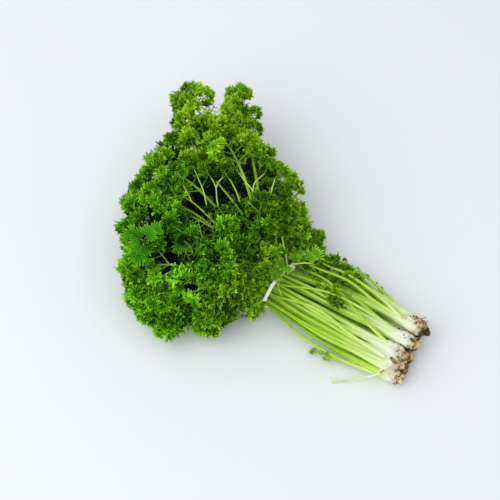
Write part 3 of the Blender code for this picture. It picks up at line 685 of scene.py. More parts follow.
def leaf_piece(leaf, materials):
    """One leaf: its rib, and fans on both sides of it and at its tip."""
    growth = Growth()
    ribs = [rib_point(leaf, share)[0] for share in (-0.03, 0.25, 0.5, 0.75, 0.98)]
    add_stem(growth, ribs, (1.12 * max(leaf["size"], 0.6), 0.5), 0.70, 3)
    for number in range(len(FANS)):
        attempt = leaf["fans"].get(number)
        if attempt is not None:
            add_fan(growth, leaf, number, attempt, 1.0)
        elif leaf["shrink"] == 1.0:
            add_fan(growth, leaf, number, 0, EXTRA_FAN)
    made = growth.piece(f"{leaf['name']}_leaflets", materials, 40.0)
    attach(made, "root")
    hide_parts(leaf["name"])
    return made


def add_spray(growth, name, foot, plan, rise, radius, layers, dark=0.0):
    """Clusters over each other on one foot."""
    draw = seeded(*name)
    # dark is painted shade, given to the sprays low inside the bunch.
    tone = draw.uniform(0.36, 0.60) + dark
    for layer in range(layers):
        axis = direction(plan + draw.uniform(-16, 16), rise + 18.0 * layer)
        face = turned(upper_side(axis), axis, draw.uniform(-25.0, 25.0))
        start = Vector(foot) + UP * (3.0 * layer)
        add_cluster(growth, start, axis, face, SPRAY_STEM, radius * (1.0 - 0.12 * layer), tone, draw)


def add_flat_leaflet(growth, name, foot, plan, rise, length, tone):
    """One broad flat leaf: a short stem with a leaflet at its end and a pair on its sides."""
    draw = seeded(*name)
    axis = direction(plan, rise)
    face = upper_side(axis)
    foot = Vector(foot)
    end = foot + axis * (0.34 * length)
    stem = [foot - face * 0.8, foot.lerp(end, 0.5) - face * 0.5, end - face * 0.3]
    add_stem(growth, stem, (0.45, 0.35), 0.80)
    side = foot.lerp(end, 0.4)
    for start, turn, share in ((end, 0.0, 0.72), (side, -58.0, 0.52), (side, 58.0, 0.52)):
        way = turned(axis, face, turn + draw.uniform(-9.0, 9.0))
        shade = tone + draw.uniform(-0.08, 0.08)
        add_leaflet(growth, start, way, face, length * share * draw.uniform(0.92, 1.08), draw, shade, True, 2)


def added_piece(growth, name, materials):
    made = growth.piece(name, materials, 40.0)
    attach(made, "root")


def spray_pieces(materials):
    """Sprays that fill out the bunch between and beside its leaves, and ones under them painted darker, as
    painted shade.
    """
    growth = Growth()
    for n, spray in enumerate(INNER_SPRAYS):
        add_spray(growth, ("inner spray", n), *spray, 2, INNER_SHADE)
    added_piece(growth, "inner_sprays", materials)
    growth = Growth()
    for n, spray in enumerate(SPRAYS):
        add_spray(growth, ("spray", n), *spray, 2)
    for n, spray in enumerate(TIE_SPRAYS):
        add_spray(growth, ("tie spray", n), *spray, 1)
    for n, leaflet in enumerate(FLAT_LEAFLETS):
        add_flat_leaflet(growth, ("flat leaflet", n), *leaflet)
    for route in FORKS:
        add_stem(growth, route, FORK_RADII, 0.42, 4)
    for n, (foot, plan) in enumerate(FORK_TUFTS):
        add_spray(growth, ("tuft", n), foot, plan, 20.0, TUFT_RADIUS, 1)
    added_piece(growth, "filling_sprays", materials)


# ---------------------------------------------------------------- stalks and crowns

STALK_BASE_SPREAD = 3.9
BULGES = (0.18, 0.22)
HIGHEST_SLOT = 21.4
SHEATH = 5.0
LOW_STALK_SHADE = 0.36


def bend(start, leaving, end, arriving, shares):
    """Points of a smooth curve from start to end with the given tangents."""
    points = []
    for t in shares:
        t2, t3 = t * t, t * t * t
        point = start * (2 * t3 - 3 * t2 + 1) + leaving * (t3 - 2 * t2 + t)
        points.append(point + end * (3 * t2 - 2 * t3) + arriving * (t3 - t2))
    return points


def stalk_route(plant, leaf, foot_spread, bulges):
    """Centre line of a stalk from its crown, through its slot in the tie, to its leaf.

    foot_spread is how far apart the stalks leave the crown, and bulges how much they bow out
    towards the front and the back.
    """
    base, forward, slot, crown = leaf["base"], leaf["forward"], leaf["slot"], plant["crown"]
    back = Vector((-1, 0, 0))
    if slot is None:
        root = crown + UP * (foot_spread * 0.6)
        pull = (base - root).length
        return bend(root, back * pull, base, forward * pull, (0.0, 0.25, 0.5, 0.75, 1.0))
    group = [other["slot"] for other in plant["leaves"] if other["slot"]]
    middle = sum(group, Vector()) / len(group)
    spread = max((s - middle).length for s in group) or 1.0
    root = crown + (slot - middle) * (foot_spread / spread)
    points = [root]
    for t in (0.2, 0.55):
        point = root.lerp(slot, t)
        off = point.y - CROWN_Y * (1 - t)
        point.y += off * bulges[off > 0] * math.sin(math.pi * t)
        points.append(point)
    pull = (base - slot).length
    leaving = ((base - slot).normalized() + back) * (0.45 * pull)
    return points + bend(slot, leaving, base, forward * pull, (0.0, 0.3, 0.6, 0.85, 1.0))


def add_stalk(growth, plant, leaf):
    """A grooved stalk, wide and pale where it leaves the crown and green at its leaf."""
    draw = seeded("stalk", leaf["name"])
    route = stalk_route(plant, leaf, STALK_BASE_SPREAD, BULGES)
    if leaf["slot"]:
        route.insert(0, route[0] + (route[0] - route[1]).normalized() * SHEATH)
    path = smooth_path(route, 6)
    total = sum((b - a).length for a, b in zip(path, path[1:]))
    run, radii, flat, moved = 0.0, [], [], []
    sway = draw.uniform(0.0, 2 * math.pi)
    for n, place in enumerate(path):
        run += (place - path[n - 1]).length if n else 0.0
        share = run / total
        radii.append(between(STALK_RADII, share) * (1 + 0.05 * math.sin(run * 0.21 + sway)))
        flat.append(1.0 + 0.22 * max(0.0, 1.0 - share / 0.16))
        loose = 0.35 * math.sin(math.pi * share)
        off = Vector((0.0, math.sin(run * 0.11 + sway), math.cos(run * 0.09 + sway)))
        moved.append(place + off * loose)
    ring, faces, runs, around = tube(moved, radii, STALK_SIDES, STALK_GROOVES, 0.045, flat)
    tint_and_shade = draw.uniform(-0.06, 0.06)
    # Stalks low in the tie are painted darker along most of their way from the crown, as painted shade; the
    # random draw is their own tone.
    if leaf["slot"]:
        low = LOW_STALK_SHADE * (1.0 - leaf["slot"].z / HIGHEST_SLOT)
        tint_and_shade = tint_and_shade + low * np.interp(runs / total, (0.0, 0.12, 0.60, 0.75), (0.55, 1.0, 1.0, 0.0))
    end = 0.62 if leaf["slot"] else 0.5
    shares, greens = (0.0, 0.10, 0.32, 0.62, 0.8, 1.0), (0.0, 0.12, 0.32, 0.42, 0.56, end)
    green = np.interp(runs / total, shares, greens) + tint_and_shade
    growth.add(ring, faces, green, streak_grain(runs + draw.uniform(0, 300), around), 0)


CROWN_PROFILE = ((-14.0, 1.4), (-8.0, 3.2), (-2.0, 4.5), (3.0, 5.0), (6.5, 4.6), (9.0, 3.6))
CUT_FACE = (0.82, 0.55, 0.25, 0.02)
# How brown a crown is along its length, as shares of it.
SOIL_PLACES = (0.0, 0.60, 0.78, 0.90, 0.99, 1.1)
SOIL_TONES = (0.0, 0.02, 0.10, 0.30, 0.46, 0.34)
# Crowns that differ: girth, and how much browner than the rest.
CROWN_HABITS = {
    "plant_1": (1.22, -0.12), "plant_8": (1.08, -0.08), "plant_9": (1.0, 0.06), "plant_6": (1.05, -0.02),
}
CROWN_MOVES = {"plant_1": (3, 4.5, 1.5), "plant_6": (1, 2, 0), "plant_9": (-1, 2, 1)}
CROWN_RINGS = 34
CROWN_SIDES = 36


def add_crown(growth, plant):
    """A knobbly root crown, creamy in front, with brown scars and a cut end."""
    draw = seeded("crown", plant["name"])
    slots = [leaf["slot"] for leaf in plant["leaves"] if leaf["slot"]]
    along = (plant["crown"] - sum(slots, Vector()) / len(slots)).normalized()
    low, high = CROWN_PROFILE[0][0], CROWN_PROFILE[-1][0]
    stops = [low + (high - low) * n / (CROWN_RINGS - 1) for n in range(CROWN_RINGS)]
    girth, ripe = draw.uniform(0.86, 1.10), draw.uniform(-0.14, 0.14)
    girth, ripe = CROWN_HABITS.get(plant["name"], (girth, ripe))
    tilt = Vector((0.0, draw.uniform(-0.16, 0.16), draw.uniform(-0.05, 0.14)))
    path = [plant["crown"] + along * x + tilt * (x - low) * 0.5 for x in stops]
    radii = [between(CROWN_PROFILE, x) * girth for x in stops]
    end = path[-1] + along * 0.5
    path += [end - along * 0.35 * n for n in range(len(CUT_FACE))]
    radii += [radii[-1] * share for share in CUT_FACE]
    ring, faces, runs, around = tube(path, radii, CROWN_SIDES)
    runs[-1] = runs[-3]
    seed = noise_place(draw)
    lobes, twist, sunk = draw.choice((3, 4, 5)), draw.uniform(0, 6), []
    ends = np.array([path[0], path[-1]])
    middles = np.concatenate([np.repeat(np.array(path), CROWN_SIDES, axis=0), ends])
    for n, point in enumerate(ring):
        p = Vector(point)
        share = min(runs[n] / (high - low), 1.0)
        lump = noise.fractal(p * 0.17 + seed, 0.8, 2.1, 4) * 0.26
        lump += 0.13 * math.cos(lobes * around[n] + twist) * (1.0 - 0.6 * share)
        lump += 0.035 * math.sin(runs[n] * 2.4 + twist) * share
        ring[n] = middles[n] + (point - middles[n]) * (1.0 + lump)
        sunk.append(-lump)
        p = Vector(ring[n])
        if share > 0.96:
            ring[n] = p + along * noise.noise(p * 0.6 + seed) * 0.7
    soil = np.interp(runs / (high - low), SOIL_PLACES, SOIL_TONES) + ripe + np.array(sunk) * 1.1
    growth.add(ring, faces, soil, ring, 1)
    plant["along"], plant["end"] = along, end


def add_lump(growth, path, thick, soil, draw):
    """A short lumpy body along a path, round at both ends."""
    path = smooth_path(path, 4)
    seed = noise_place(draw)
    shares = [n / (len(path) - 1) for n in range(len(path))]
    radii = [thick * math.sqrt(max(0.02, 1.0 - (2.0 * share - 1.0) ** 2)) for share in shares]
    ring, faces, runs, around = tube(path, radii, 10)
    middle = Vector(np.mean(ring, axis=0))
    for n, point in enumerate(ring):
        p = Vector(point)
        ring[n] = middle + (p - middle) * (1.0 + 0.5 * noise.noise(p * 0.35 + seed))
    growth.add(ring, faces, soil, ring, 1)


def add_soil(growth, plant):
    """Dark brown lumps round a crown, and the scraps of bark, old stubs and knobs that are its own."""
    draw = seeded(plant["name"], "soil")
    for along, across, up, size in DARK_LUMPS:
        place = plant["crown"] + Vector((along, across, up))
        place.z = max(place.z, 1.5)
        way = Vector((draw.uniform(0.6, 1.0), draw.uniform(-0.6, 0.6), draw.uniform(-0.4, 0.4))) * size
        add_lump(growth, [place - way, place, place + way], size * 0.9, draw.uniform(0.72, 0.95), draw)
    for owner, path, thick, soil in DEBRIS:
        if owner == plant["name"]:
            add_lump(growth, path, thick, soil, draw)


def add_root_stubs(growth, plant):
    """Cut roots on the end of a crown: a blunt one, shorter ones and thin fibres."""
    draw = seeded(plant["name"], "stubs")
    along = plant["along"]
    for n in range(9):
        thick, fibre = n < 2, n > 3
        rim = rim_way(draw, along)
        start = plant["end"] - along * draw.uniform(2.5, 7.0) + rim * draw.uniform(2.0, 4.0)
        way = (along + rim * draw.uniform(0.2, 0.9)).normalized()
        length = draw.uniform(4.0, 7.5) if thick else draw.uniform(3.0, 7.0)
        side = Vector((0.0, draw.uniform(-1.0, 1.0), draw.uniform(-1.0, 1.0)))
        wide = draw.uniform(*(1.7, 2.5) if thick else (0.22, 0.40) if fibre else (0.6, 1.1))
        path = smooth_path([start, start + way * length * 0.5 + side, start + way * length], 5)
        for point in path:
            point.z = max(point.z, wide * 0.6)
        last = len(path) - 1
        radii = [wide * (1.0 - 0.4 * i / last) * draw.uniform(0.86, 1.14) for i in range(last + 1)]
        ring, faces, runs, around = tube(path, radii, 12 if thick else 6, 3, 0.08)
        soil = np.clip(draw.uniform(0.30, 0.75) + runs / length * 0.2, 0, 1)
        growth.add(ring, faces, soil, ring, 1)


CRUMB = ((0, 0, 1), (1, 0, 0), (0, 1, 0), (-1, 0, 0), (0, -1, 0), (0, 0, -1))
CRUMB_FACES = ((0, 1, 2), (0, 2, 3), (0, 3, 4), (0, 4, 1), (5, 2, 1), (5, 3, 2), (5, 4, 3), (5, 1, 4))


def add_crumbs(growth, plant):
    """Crumbs of soil that cling between the crowns and on their ends."""
    draw = seeded(plant["name"], "crumbs")
    along = plant["along"]
    for _ in range(40):
        rim = rim_way(draw, along)
        back = draw.uniform(0.0, 11.0)
        girth = between(CROWN_PROFILE, CROWN_PROFILE[-1][0] - back)
        place = plant["end"] - along * back + rim * girth * draw.uniform(0.75, 1.0)
        size = draw.uniform(0.35, 1.0)
        points = [place + Vector(c) * size * draw.uniform(0.6, 1.3) for c in CRUMB]
        growth.add(points, CRUMB_FACES, draw.uniform(0.75, 1.0), np.array(points), 1)


TWIG_PLANT = "plant_6"
TWIG_START = ((113.0, -2.0, 20.0), (110.5, -7.0, 21.0), (106.0, -13.2, 19.8), (101.5, -18.0, 14.8))
TWIG = ((101.5, -18.0, 14.8), (98.2, -20.8, 11.0), (84.7, -30.0, 2.8), (74.4, -39.2, 0.8))
TWIG_FORK = ((80.3, -33.7, 2.0), (75.5, -35.0, 1.5), (70.9, -36.6, 0.6))
# Dark brown lumps in the spaces between the crowns: place round a crown, along, across and up, and size.
DARK_LUMPS = (
    (-11, 5, -2, 1.9), (-7, 5.2, -1, 1.8), (-3, 5.4, -1, 2.2), (3.5, 5.6, 0.5, 2.5), (8, 4.6, -3, 2.1),
    (9.5, 1, -5, 2.2),
)
# Scraps of bark, old root stubs and knobs among the crowns: crown, path, thickness and brown.
DEBRIS = (
    ("plant_9", ((104, 32.5, 14), (109, 31, 16), (114, 28.5, 13.5)), 2.9, 0.86),
    ("plant_9", ((90, 25.6, 20.8), (94, 28.5, 20.2), (98, 31.5, 18)), 2.3, 0.36),
    ("plant_8", ((100.4, 22, 18), (104, 24, 17), (107.5, 25, 15)), 2.6, 0.3),
    ("plant_8", ((104, 18, 15.5), (107, 18.6, 15), (110, 19.7, 13.5)), 2.4, 0.94),
    ("plant_7", ((108, 6, 16), (110.5, 5, 13), (112.5, 3, 10)), 2.2, 0.5),
    ("plant_6", ((101, -5.5, 20.4), (103.5, -6.5, 20.7), (107, -8.5, 19.6)), 1.3, 0.64),
    ("plant_7", ((96, -2.5, 19), (101, 0, 20.2), (107, 1.9, 19)), 1.2, 0.46),
    ("plant_6", ((113, 1, 12), (114, -2, 10), (114.5, -5.5, 7)), 2, 0.62),
)


def add_twig(growth):
    """A thin bare twig that bends back from one crown down to the table, and forks."""
    parts = ((TWIG_START, 0.8, 0.72, True), (TWIG, 0.72, 0.5, False), (TWIG_FORK, 0.45, 0.3, False))
    for route, thick, thin, bark in parts:
        path = smooth_path(route, 6)
        radii = [thick + (thin - thick) * n / (len(path) - 1) for n in range(len(path))]
        ring, faces, runs, around = tube(path, radii, 8)
        if bark:
            growth.add(ring, faces, 0.34, ring, 1)
        else:
            green = np.interp(runs, (0.0, 30.0), (0.10, 0.30))
            growth.add(ring, faces, green, streak_grain(runs, around), 0)


def add_thin_stalks(growth, plant):
    """Thin stalks of young leaves, which cross the others on their way into the leaves."""
    for n, (owner, *route) in enumerate(THIN_STALKS):
        if owner == plant["name"]:
            draw = seeded("thin stalk", n)
            far = (route[-1][0] - 26.0, route[-1][1] * 1.3, route[-1][2])
            path = smooth_path([*route, far], 7)
            radii = np.linspace(draw.uniform(1.1, 1.5), draw.uniform(0.6, 0.8), len(path))
            ring, faces, runs, around = tube(path, radii, 8)
            green = np.interp(runs / runs[-1], (0.0, 0.25, 1.0), (0.16, 0.42, 0.60))
            green += draw.uniform(-0.05, 0.08)
            growth.add(ring, faces, green, streak_grain(runs + 40.0 * n, around), 0)


def stalks_piece(plant, materials):
    growth = Growth()
    add_thin_stalks(growth, plant)
    if plant["name"] == TWIG_PLANT:
        add_twig(growth)
    for leaf in plant["leaves"]:
        add_stalk(growth, plant, leaf)
    add_crown(growth, plant)
    add_soil(growth, plant)
    add_root_stubs(growth, plant)
    add_crumbs(growth, plant)
    made = growth.piece(f"{plant['name']}_grown_stalks", materials, 60.0)
    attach(made, "root")
    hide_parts(f"{plant['name']}_stalks")
    return made


# ---------------------------------------------------------------- materials


class Value:
    """A socket of a material, on which sums write its Math nodes."""

    def __init__(self, finish, socket):
        self.finish, self.socket = finish, socket

    def _sum(self, operation, first, second):
        return self.finish.node("ShaderNodeMath", {"operation": operation}, {0: first, 1: second})

    def __add__(self, other):
        return self._sum("ADD", self, other)

    def __sub__(self, other):
        return self._sum("SUBTRACT", self, other)

    def __rsub__(self, other):
        return self._sum("SUBTRACT", other, self)

    def __mul__(self, other):
        return self._sum("MULTIPLY", self, other)

    __radd__, __rmul__ = __add__, __mul__


class Finish:
    """A material as its nodes are added. Its shader is a Principled one."""

    def __init__(self, name, **settings):
        self.material = bpy.data.materials.new(name)
        self.material.use_nodes = True
        self.nodes = self.material.node_tree.nodes
        self.links = self.material.node_tree.links
        self.shader = self.nodes["Principled BSDF"]
        for socket, value in settings.items():
            self.shader.inputs[socket.replace("_", " ")].default_value = value

    def node(self, kind, settings=None, values=None, out=0):
        """A node of any kind: its settings first, then the values or links of its sockets."""
        made = self.nodes.new(kind)
        for name, setting in (settings or {}).items():
            if name == "stops":
                self._stops(made.color_ramp, setting)
            else:
                setattr(made, name, setting)
        for name, value in (values or {}).items():
            if isinstance(value, Value):
                self.links.new(value.socket, made.inputs[name])
            else:
                made.inputs[name].default_value = value
        return Value(self, made.outputs[out])

    def _stops(self, ramp, stops):
        while len(ramp.elements) < len(stops):
            ramp.elements.new(1.0)
        for element, (place, colour) in zip(ramp.elements, stops):
            element.position = place
            element.color = (*colour, 1.0)

    def read(self, name, out="Fac"):
        return self.node("ShaderNodeAttribute", {"attribute_name": name}, out=out)

    def ramp(self, value, stops):
        return self.node("ShaderNodeValToRGB", {"stops": stops}, {0: value})

    def speckle(self, where, scale, detail=3.0, rough=0.55):
        values = {"Vector": where, "Scale": scale, "Detail": detail, "Roughness": rough}
        return self.node("ShaderNodeTexNoise", None, values)

    def mix(self, share, first, second, blend="MIX"):
        settings = {"data_type": "RGBA", "blend_type": blend}
        return self.node("ShaderNodeMix", settings, {0: share, 6: first, 7: second}, 2)

    def stretch(self, value, low, high, to_low=0.0, to_high=1.0):
        return self.node("ShaderNodeMapRange", None, {0: value, 1: low, 2: high, 3: to_low, 4: to_high})

    def feed(self, socket, value):
        self.links.new(value.socket, self.shader.inputs[socket])

    def bump(self, height, strength, distance):
        values = {"Height": height, "Strength": strength, "Distance": distance}
        self.feed("Normal", self.node("ShaderNodeBump", None, values))


LEAF_GREENS = (
    (0.0, (0.004, 0.025, 0.0005)), (0.28, (0.048, 0.170, 0.001)), (0.60, (0.150, 0.380, 0.002)),
    (1.0, (0.480, 0.760, 0.030)),
)
STALK_GREENS = (
    (0.0, (0.90, 0.93, 0.80)), (0.15, (0.83, 0.92, 0.58)), (0.34, (0.63, 0.85, 0.18)),
    (0.52, (0.38, 0.67, 0.018)), (0.72, (0.16, 0.40, 0.003)), (1.0, (0.07, 0.22, 0.002)),
)
CROWN_BROWNS = (
    (0.0, (0.82, 0.85, 0.66)), (0.24, (0.76, 0.72, 0.48)), (0.42, (0.66, 0.47, 0.24)),
    (0.60, (0.40, 0.24, 0.10)), (0.80, (0.12, 0.070, 0.036)), (1.0, (0.030, 0.019, 0.014)),
)
FLAT_GREENS = (
    (0.0, (0.012, 0.080, 0.002)), (0.40, (0.060, 0.235, 0.004)), (0.70, (0.170, 0.420, 0.008)),
    (1.0, (0.360, 0.640, 0.050)),
)
# Leaves at the far side of the bunch and at the tie are a warmer green than the rest, in metres
# across it and along it.
WARM_BACK = (-0.034, 0.041)
WARM_TIE = (-0.010, 0.018)
COOLER = (0.72, 1.0, 0.9, 1.0)


def leaf_finish(name, greens):
    made = Finish(name, Roughness=0.5, Specular_IOR_Level=0.09)
    tone = made.node("ShaderNodeSeparateXYZ", None, {0: made.read("grain", "Vector")})
    edge, tip_light = (Value(made, tone.socket.node.outputs[out]) for out in (1, 2))
    where = made.node("ShaderNodeTexCoord", out="Object")
    mottle = made.speckle(where, 260.0)
    # Painted highlight towards the rims and tooth tips, and painted shade at the notches and the foot; the
    # mottle is the leaf's own.
    colour = made.ramp(tone + (mottle - 0.5) * 0.25 + tip_light * 0.46 + edge * 0.20 - 0.33, greens)
    back = made.stretch(made.node("ShaderNodeSeparateXYZ", None, {0: where}, 1), *WARM_BACK)
    tie = made.stretch(made.node("ShaderNodeSeparateXYZ", None, {0: where}, 0), *WARM_TIE)
    made.feed("Base Color", made.mix((1.0 - back) * (1.0 - tie), colour, COOLER, "MULTIPLY"))
    made.feed("Roughness", 0.40 + mottle * 0.18)
    made.bump(made.speckle(where, 900.0, 2.0), 0.35, 0.0004)
    return made.material


def stalk_finish():
    made = Finish("parsley stalk", Roughness=0.4, Specular_IOR_Level=0.35)
    where = made.read("grain", "Vector")
    drawn_out = made.node("ShaderNodeVectorMath", {"operation": "MULTIPLY"}, {0: where, 1: (0.02, 1.0, 1.0)})
    streaks = made.speckle(drawn_out, 3.2)
    blotch = made.speckle(made.node("ShaderNodeTexCoord", out="Object"), 90.0, 2.0)
    green = made.read("tone") + (streaks - 0.5) * 0.46 + (blotch - 0.5) * 0.20
    made.feed("Base Color", made.ramp(green, STALK_GREENS))
    made.feed("Roughness", 0.32 + streaks * 0.2)
    made.bump(streaks, 0.4, 0.0005)
    return made.material


def crown_finish():
    made = Finish("root crown", Roughness=0.7, Specular_IOR_Level=0.25)
    where = made.node("ShaderNodeTexCoord", out="Object")
    lumps = made.speckle(where, 120.0, 5.0, 0.65)
    dirt = made.stretch(made.speckle(where, 330.0, 6.0, 0.7), 0.50, 0.66)
    soil = made.read("tone") + (lumps - 0.5) * 0.9 + dirt * 0.34
    made.feed("Base Color", made.ramp(soil, CROWN_BROWNS))
    made.feed("Roughness", 0.55 + dirt * 0.35)
    made.bump(lumps + dirt * 0.4, 0.8, 0.0012)
    return made.material


def band_finish():
    # The tape glows a little, as painted light that keeps it white where the leaves shade it.
    painted_glow = {"Emission_Color": (0.95, 1.0, 0.93, 1.0), "Emission_Strength": 0.34}
    made = Finish("white tie tape", Base_Color=(0.97, 0.98, 0.95, 1.0), Roughness=0.35, **painted_glow)
    where = made.node("ShaderNodeTexCoord", out="Object")
    made.feed("Roughness", 0.30 + made.speckle(where, 700.0) * 0.15)
    made.bump(made.speckle(where, 1400.0, 1.0), 0.15, 0.0002)
    return made.material


def floor_finish():
    return Finish("pale floor", Roughness=0.6, Base_Color=(0.86, 0.885, 0.915, 1.0)).material


# ---------------------------------------------------------------- where the leaves grow


def reach(plan, rise):
    """Distance from the tie to the outside of the bunch, which is a dome over the table."""
    along, above = math.cos(math.radians(rise)), math.sin(math.radians(rise))
    power = DOME_SQUARENESS
    return ((along / between(REACH, plan)) ** power + (above / TOP_HEIGHT) ** power) ** (-1 / power)


def tied_leaves():
    """Every leaf whose stalk goes through the tie, layer by layer."""
    found = []
    for layer, (count, height, layer_rise, (low, high)) in enumerate(LAYERS):
        zigzag = ZIGZAG if layer else LOW_ZIGZAG
        for i in range(count):
            draw = seeded("frond", layer, i)
            is_outer = (i + layer) % 2
            plan = low + (high - low) * i / (count - 1) + draw.uniform(-3.0, 3.0)
            rise = layer_rise + (zigzag if is_outer else -zigzag)
            far = reach(plan, rise) * draw.uniform(0.95, 1.03) * (1.0 if is_outer else INNER_SHARE)
            size = draw.uniform(0.92, 1.06)
            roll = draw.uniform(-18.0, 18.0)
            plan, rise, far, size = LONG_LEAVES.get((layer, i), (plan, rise, far, size))
            slot = Vector((SLOT_X, (i - (count - 1) / 2) * SLOT_SPACING, height))
            facts = {"layer": layer, "slot": slot, "plan": plan, "rise": rise, "roll": roll}
            found.append(facts | {"reach": far, "size": size})
    return found


def rooted_plants():
    """Crowns in two rows, each with the leaves whose stalks pass the tie in front of it."""
    tied, made = tied_leaves(), []
    for count, height, layers in CROWN_ROWS:
        own = [leaf for leaf in tied if leaf["layer"] in layers]
        own.sort(key=lambda leaf: round(leaf["slot"].y, 3))
        for i in range(count):
            first, last = round(len(own) * i / count), round(len(own) * (i + 1) / count)
            across = (i - (count - 1) / 2) * CROWN_SPACING
            crown = Vector((CROWN_X + CROWN_SKEW * across, CROWN_Y + across, height))
            made.append({"name": f"plant_{len(made) + 1}", "crown": crown, "leaves": own[first:last]})
    for plant in made:
        for owner, slot, start, plan, rise, size in LOOSE_LEAVES:
            if owner == plant["name"]:
                facts = {"layer": len(LAYERS), "slot": Vector(slot) if slot else None}
                facts |= {"start": Vector(start), "plan": plan, "rise": rise, "roll": 0.0, "size": size}
                plant["leaves"].append(facts)
        for n, leaf in enumerate(plant["leaves"], 1):
            leaf["name"] = f"{plant['name']}_leaf_{n}"
            leaf |= {"rib": RIB * leaf["size"], "fold": 1.0, "fans": {}}
    return made


def face_leaf(leaf, plan, rise, roll):
    """Sets the way that a leaf points at its start, and the normal of its upper side."""
    forward = direction(plan, rise)
    side = forward.cross(UP).normalized()
    normal = side.cross(forward).normalized()
    normal.rotate(Matrix.Rotation(math.radians(roll), 3, forward))
    leaf["forward"], leaf["normal"] = forward, normal


def aim(leaf):
    """Works out where a leaf starts, and the way it points there."""
    leaf["base"], leaf["leaf_rise"] = leaf.get("start"), leaf["rise"]
    if leaf["base"] is None:
        outward = direction(leaf["plan"], leaf["rise"])
        gone = (leaf["slot"] - UP * TIE_HEIGHT).dot(outward)
        stalk = leaf["reach"] - leaf["rib"] * LEAF_PER_RIB - gone
        leaf["base"] = leaf["slot"] + outward * max(stalk, SHORTEST_STALK)
        leaf["base"].z = max(leaf["base"].z, LOWEST_BASE)
        leaf["leaf_rise"] *= LEAF_DROOP
    face_leaf(leaf, leaf["plan"], leaf["leaf_rise"], leaf["roll"])


def bar_tree(points, radii, resolution=0):
    """Search tree of the room that a tapered round bar takes."""
    curve = bpy.data.curves.new("room", "CURVE")
    curve.dimensions = "3D"
    curve.bevel_depth = 1.0
    curve.bevel_resolution = resolution
    curve.use_fill_caps = True
    spline = curve.splines.new("POLY")
    spline.points.add(len(points) - 1)
    for place, point, radius in zip(spline.points, points, radii):
        place.co = (*point, 1.0)
        place.radius = radius
    helper = bpy.data.objects.new("room", curve)
    made = mesh_tree(helper.to_mesh(), lambda point: point.copy())
    bpy.data.objects.remove(helper)
    bpy.data.curves.remove(curve)
    return made


def mesh_tree(mesh, placed):
    """Search tree of a mesh, with each of its points placed by a function."""
    mesh.calc_loop_triangles()
    triangles = [tuple(triangle.vertices) for triangle in mesh.loop_triangles]
    return BVHTree.FromPolygons([placed(vertex.co) for vertex in mesh.vertices], triangles)


def band_tree():
    """Search tree of the tie's solid."""
    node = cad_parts["tie_band"]
    return mesh_tree(node.data, lambda point: (node.matrix_world @ point - TIE) / MM)


def crown_tree(plant):
    """Search tree of the room that a crown takes."""
    slots = [leaf["slot"] for leaf in plant["leaves"] if leaf["slot"]]
    along = (plant["crown"] - sum(slots, Vector()) / len(slots)).normalized()
    path = [plant["crown"] + along * x for x, _ in CROWN_ROOM]
    return bar_tree(path, [radius for _, radius in CROWN_ROOM], 2)


def settle(plant, leaf, filled):
    """Turns a leaf a little further at each try until its stalk and rib are clear of the rest."""
    plan, rise, start = leaf["plan"], leaf["rise"], leaf.get("start")
    own = f"{plant['name']}_stalks"
    for attempt in range(SETTLE_TRIES):
        draw = seeded(leaf["name"], "settle", attempt)
        if start:
            shift = SETTLE_SHIFT * attempt
            leaf["start"] = start + Vector([draw.uniform(-shift, shift) for _ in range(3)])
        leaf["plan"] = plan + draw.uniform(-SETTLE_PLAN, SETTLE_PLAN) * attempt
        leaf["rise"] = rise + draw.uniform(-SETTLE_RISE, SETTLE_RISE) * attempt
        aim(leaf)
        route = stalk_route(plant, leaf, SOLID_SPREAD, SOLID_BULGES)
        runs = np.cumsum([0.0] + [(b - a).length for a, b in zip(route, route[1:])])
        stalk = bar_tree(route, [between(STALK_ROOM, run / runs[-1]) for run in runs])
        shares = (JOINT_GAP / leaf["rib"], 0.25, 0.5, 0.75, 1.0)
        rib = bar_tree([rib_point(leaf, share)[0] for share in shares], [RIB_ROOM] * len(shares))
        if not any(name != own and stalk.overlap(other) or rib.overlap(other) for name, other in filled):
            filled += [(own, stalk), (leaf["name"], rib)]
            return


def fan_rim(leaf, number, attempt):
    """The foot, middle and rim of one solid fan: it widens from its stem to waved teeth."""
    size = leaf["size"] * (1.0 - 0.25 * attempt / DRAWS)
    foot, axis, face, stem = fan_frame(leaf, number, attempt)
    across = face.cross(axis)
    radius = FANS[number][3] * size
    draw = seeded(leaf["name"], number)
    middle = stem * size + radius * 0.95
    points = [foot.copy(), foot + axis * middle - face * (0.12 * radius)]
    for i in range(2 * TEETH + 1):
        is_tip = i % 2
        angle = math.radians(FAN_HALF_ANGLE) * (i / TEETH - 1)
        out = radius * (draw.uniform(0.98, 1.12) if is_tip else NOTCH_DEPTH)
        lift = radius * (draw.uniform(0.12, 0.40) if is_tip else draw.uniform(-0.16, -0.02))
        along = middle + out * math.cos(angle)
        points.append(foot + axis * along + across * (out * math.sin(angle)) + face * lift)
    for point in points:
        point.z = max(point.z, TABLE_ROOM)
    return points


def fan_tree(points, foot_share):
    """Search tree of a fan with the room it needs on both faces, from some way up its stem."""
    foot, middle, *rim = points
    side = (rim[-1] - rim[0]).normalized() * FAN_FOOT
    foot = foot.lerp(middle, foot_share)
    rim += [foot + side, foot - side]
    normal = Vector()
    for a, b in zip(rim, rim[1:]):
        normal += (a - middle).cross(b - middle)
    normal.normalize()
    sheets = [p + normal * off for off in (-FAN_ROOM, 0.0, FAN_ROOM) for p in (middle, *rim)]
    n = len(rim) + 1
    faces = [(k * n, k * n + i, k * n + i % (n - 1) + 1) for k in range(3) for i in range(1, n)]
    return BVHTree.FromPolygons(sheets, faces)


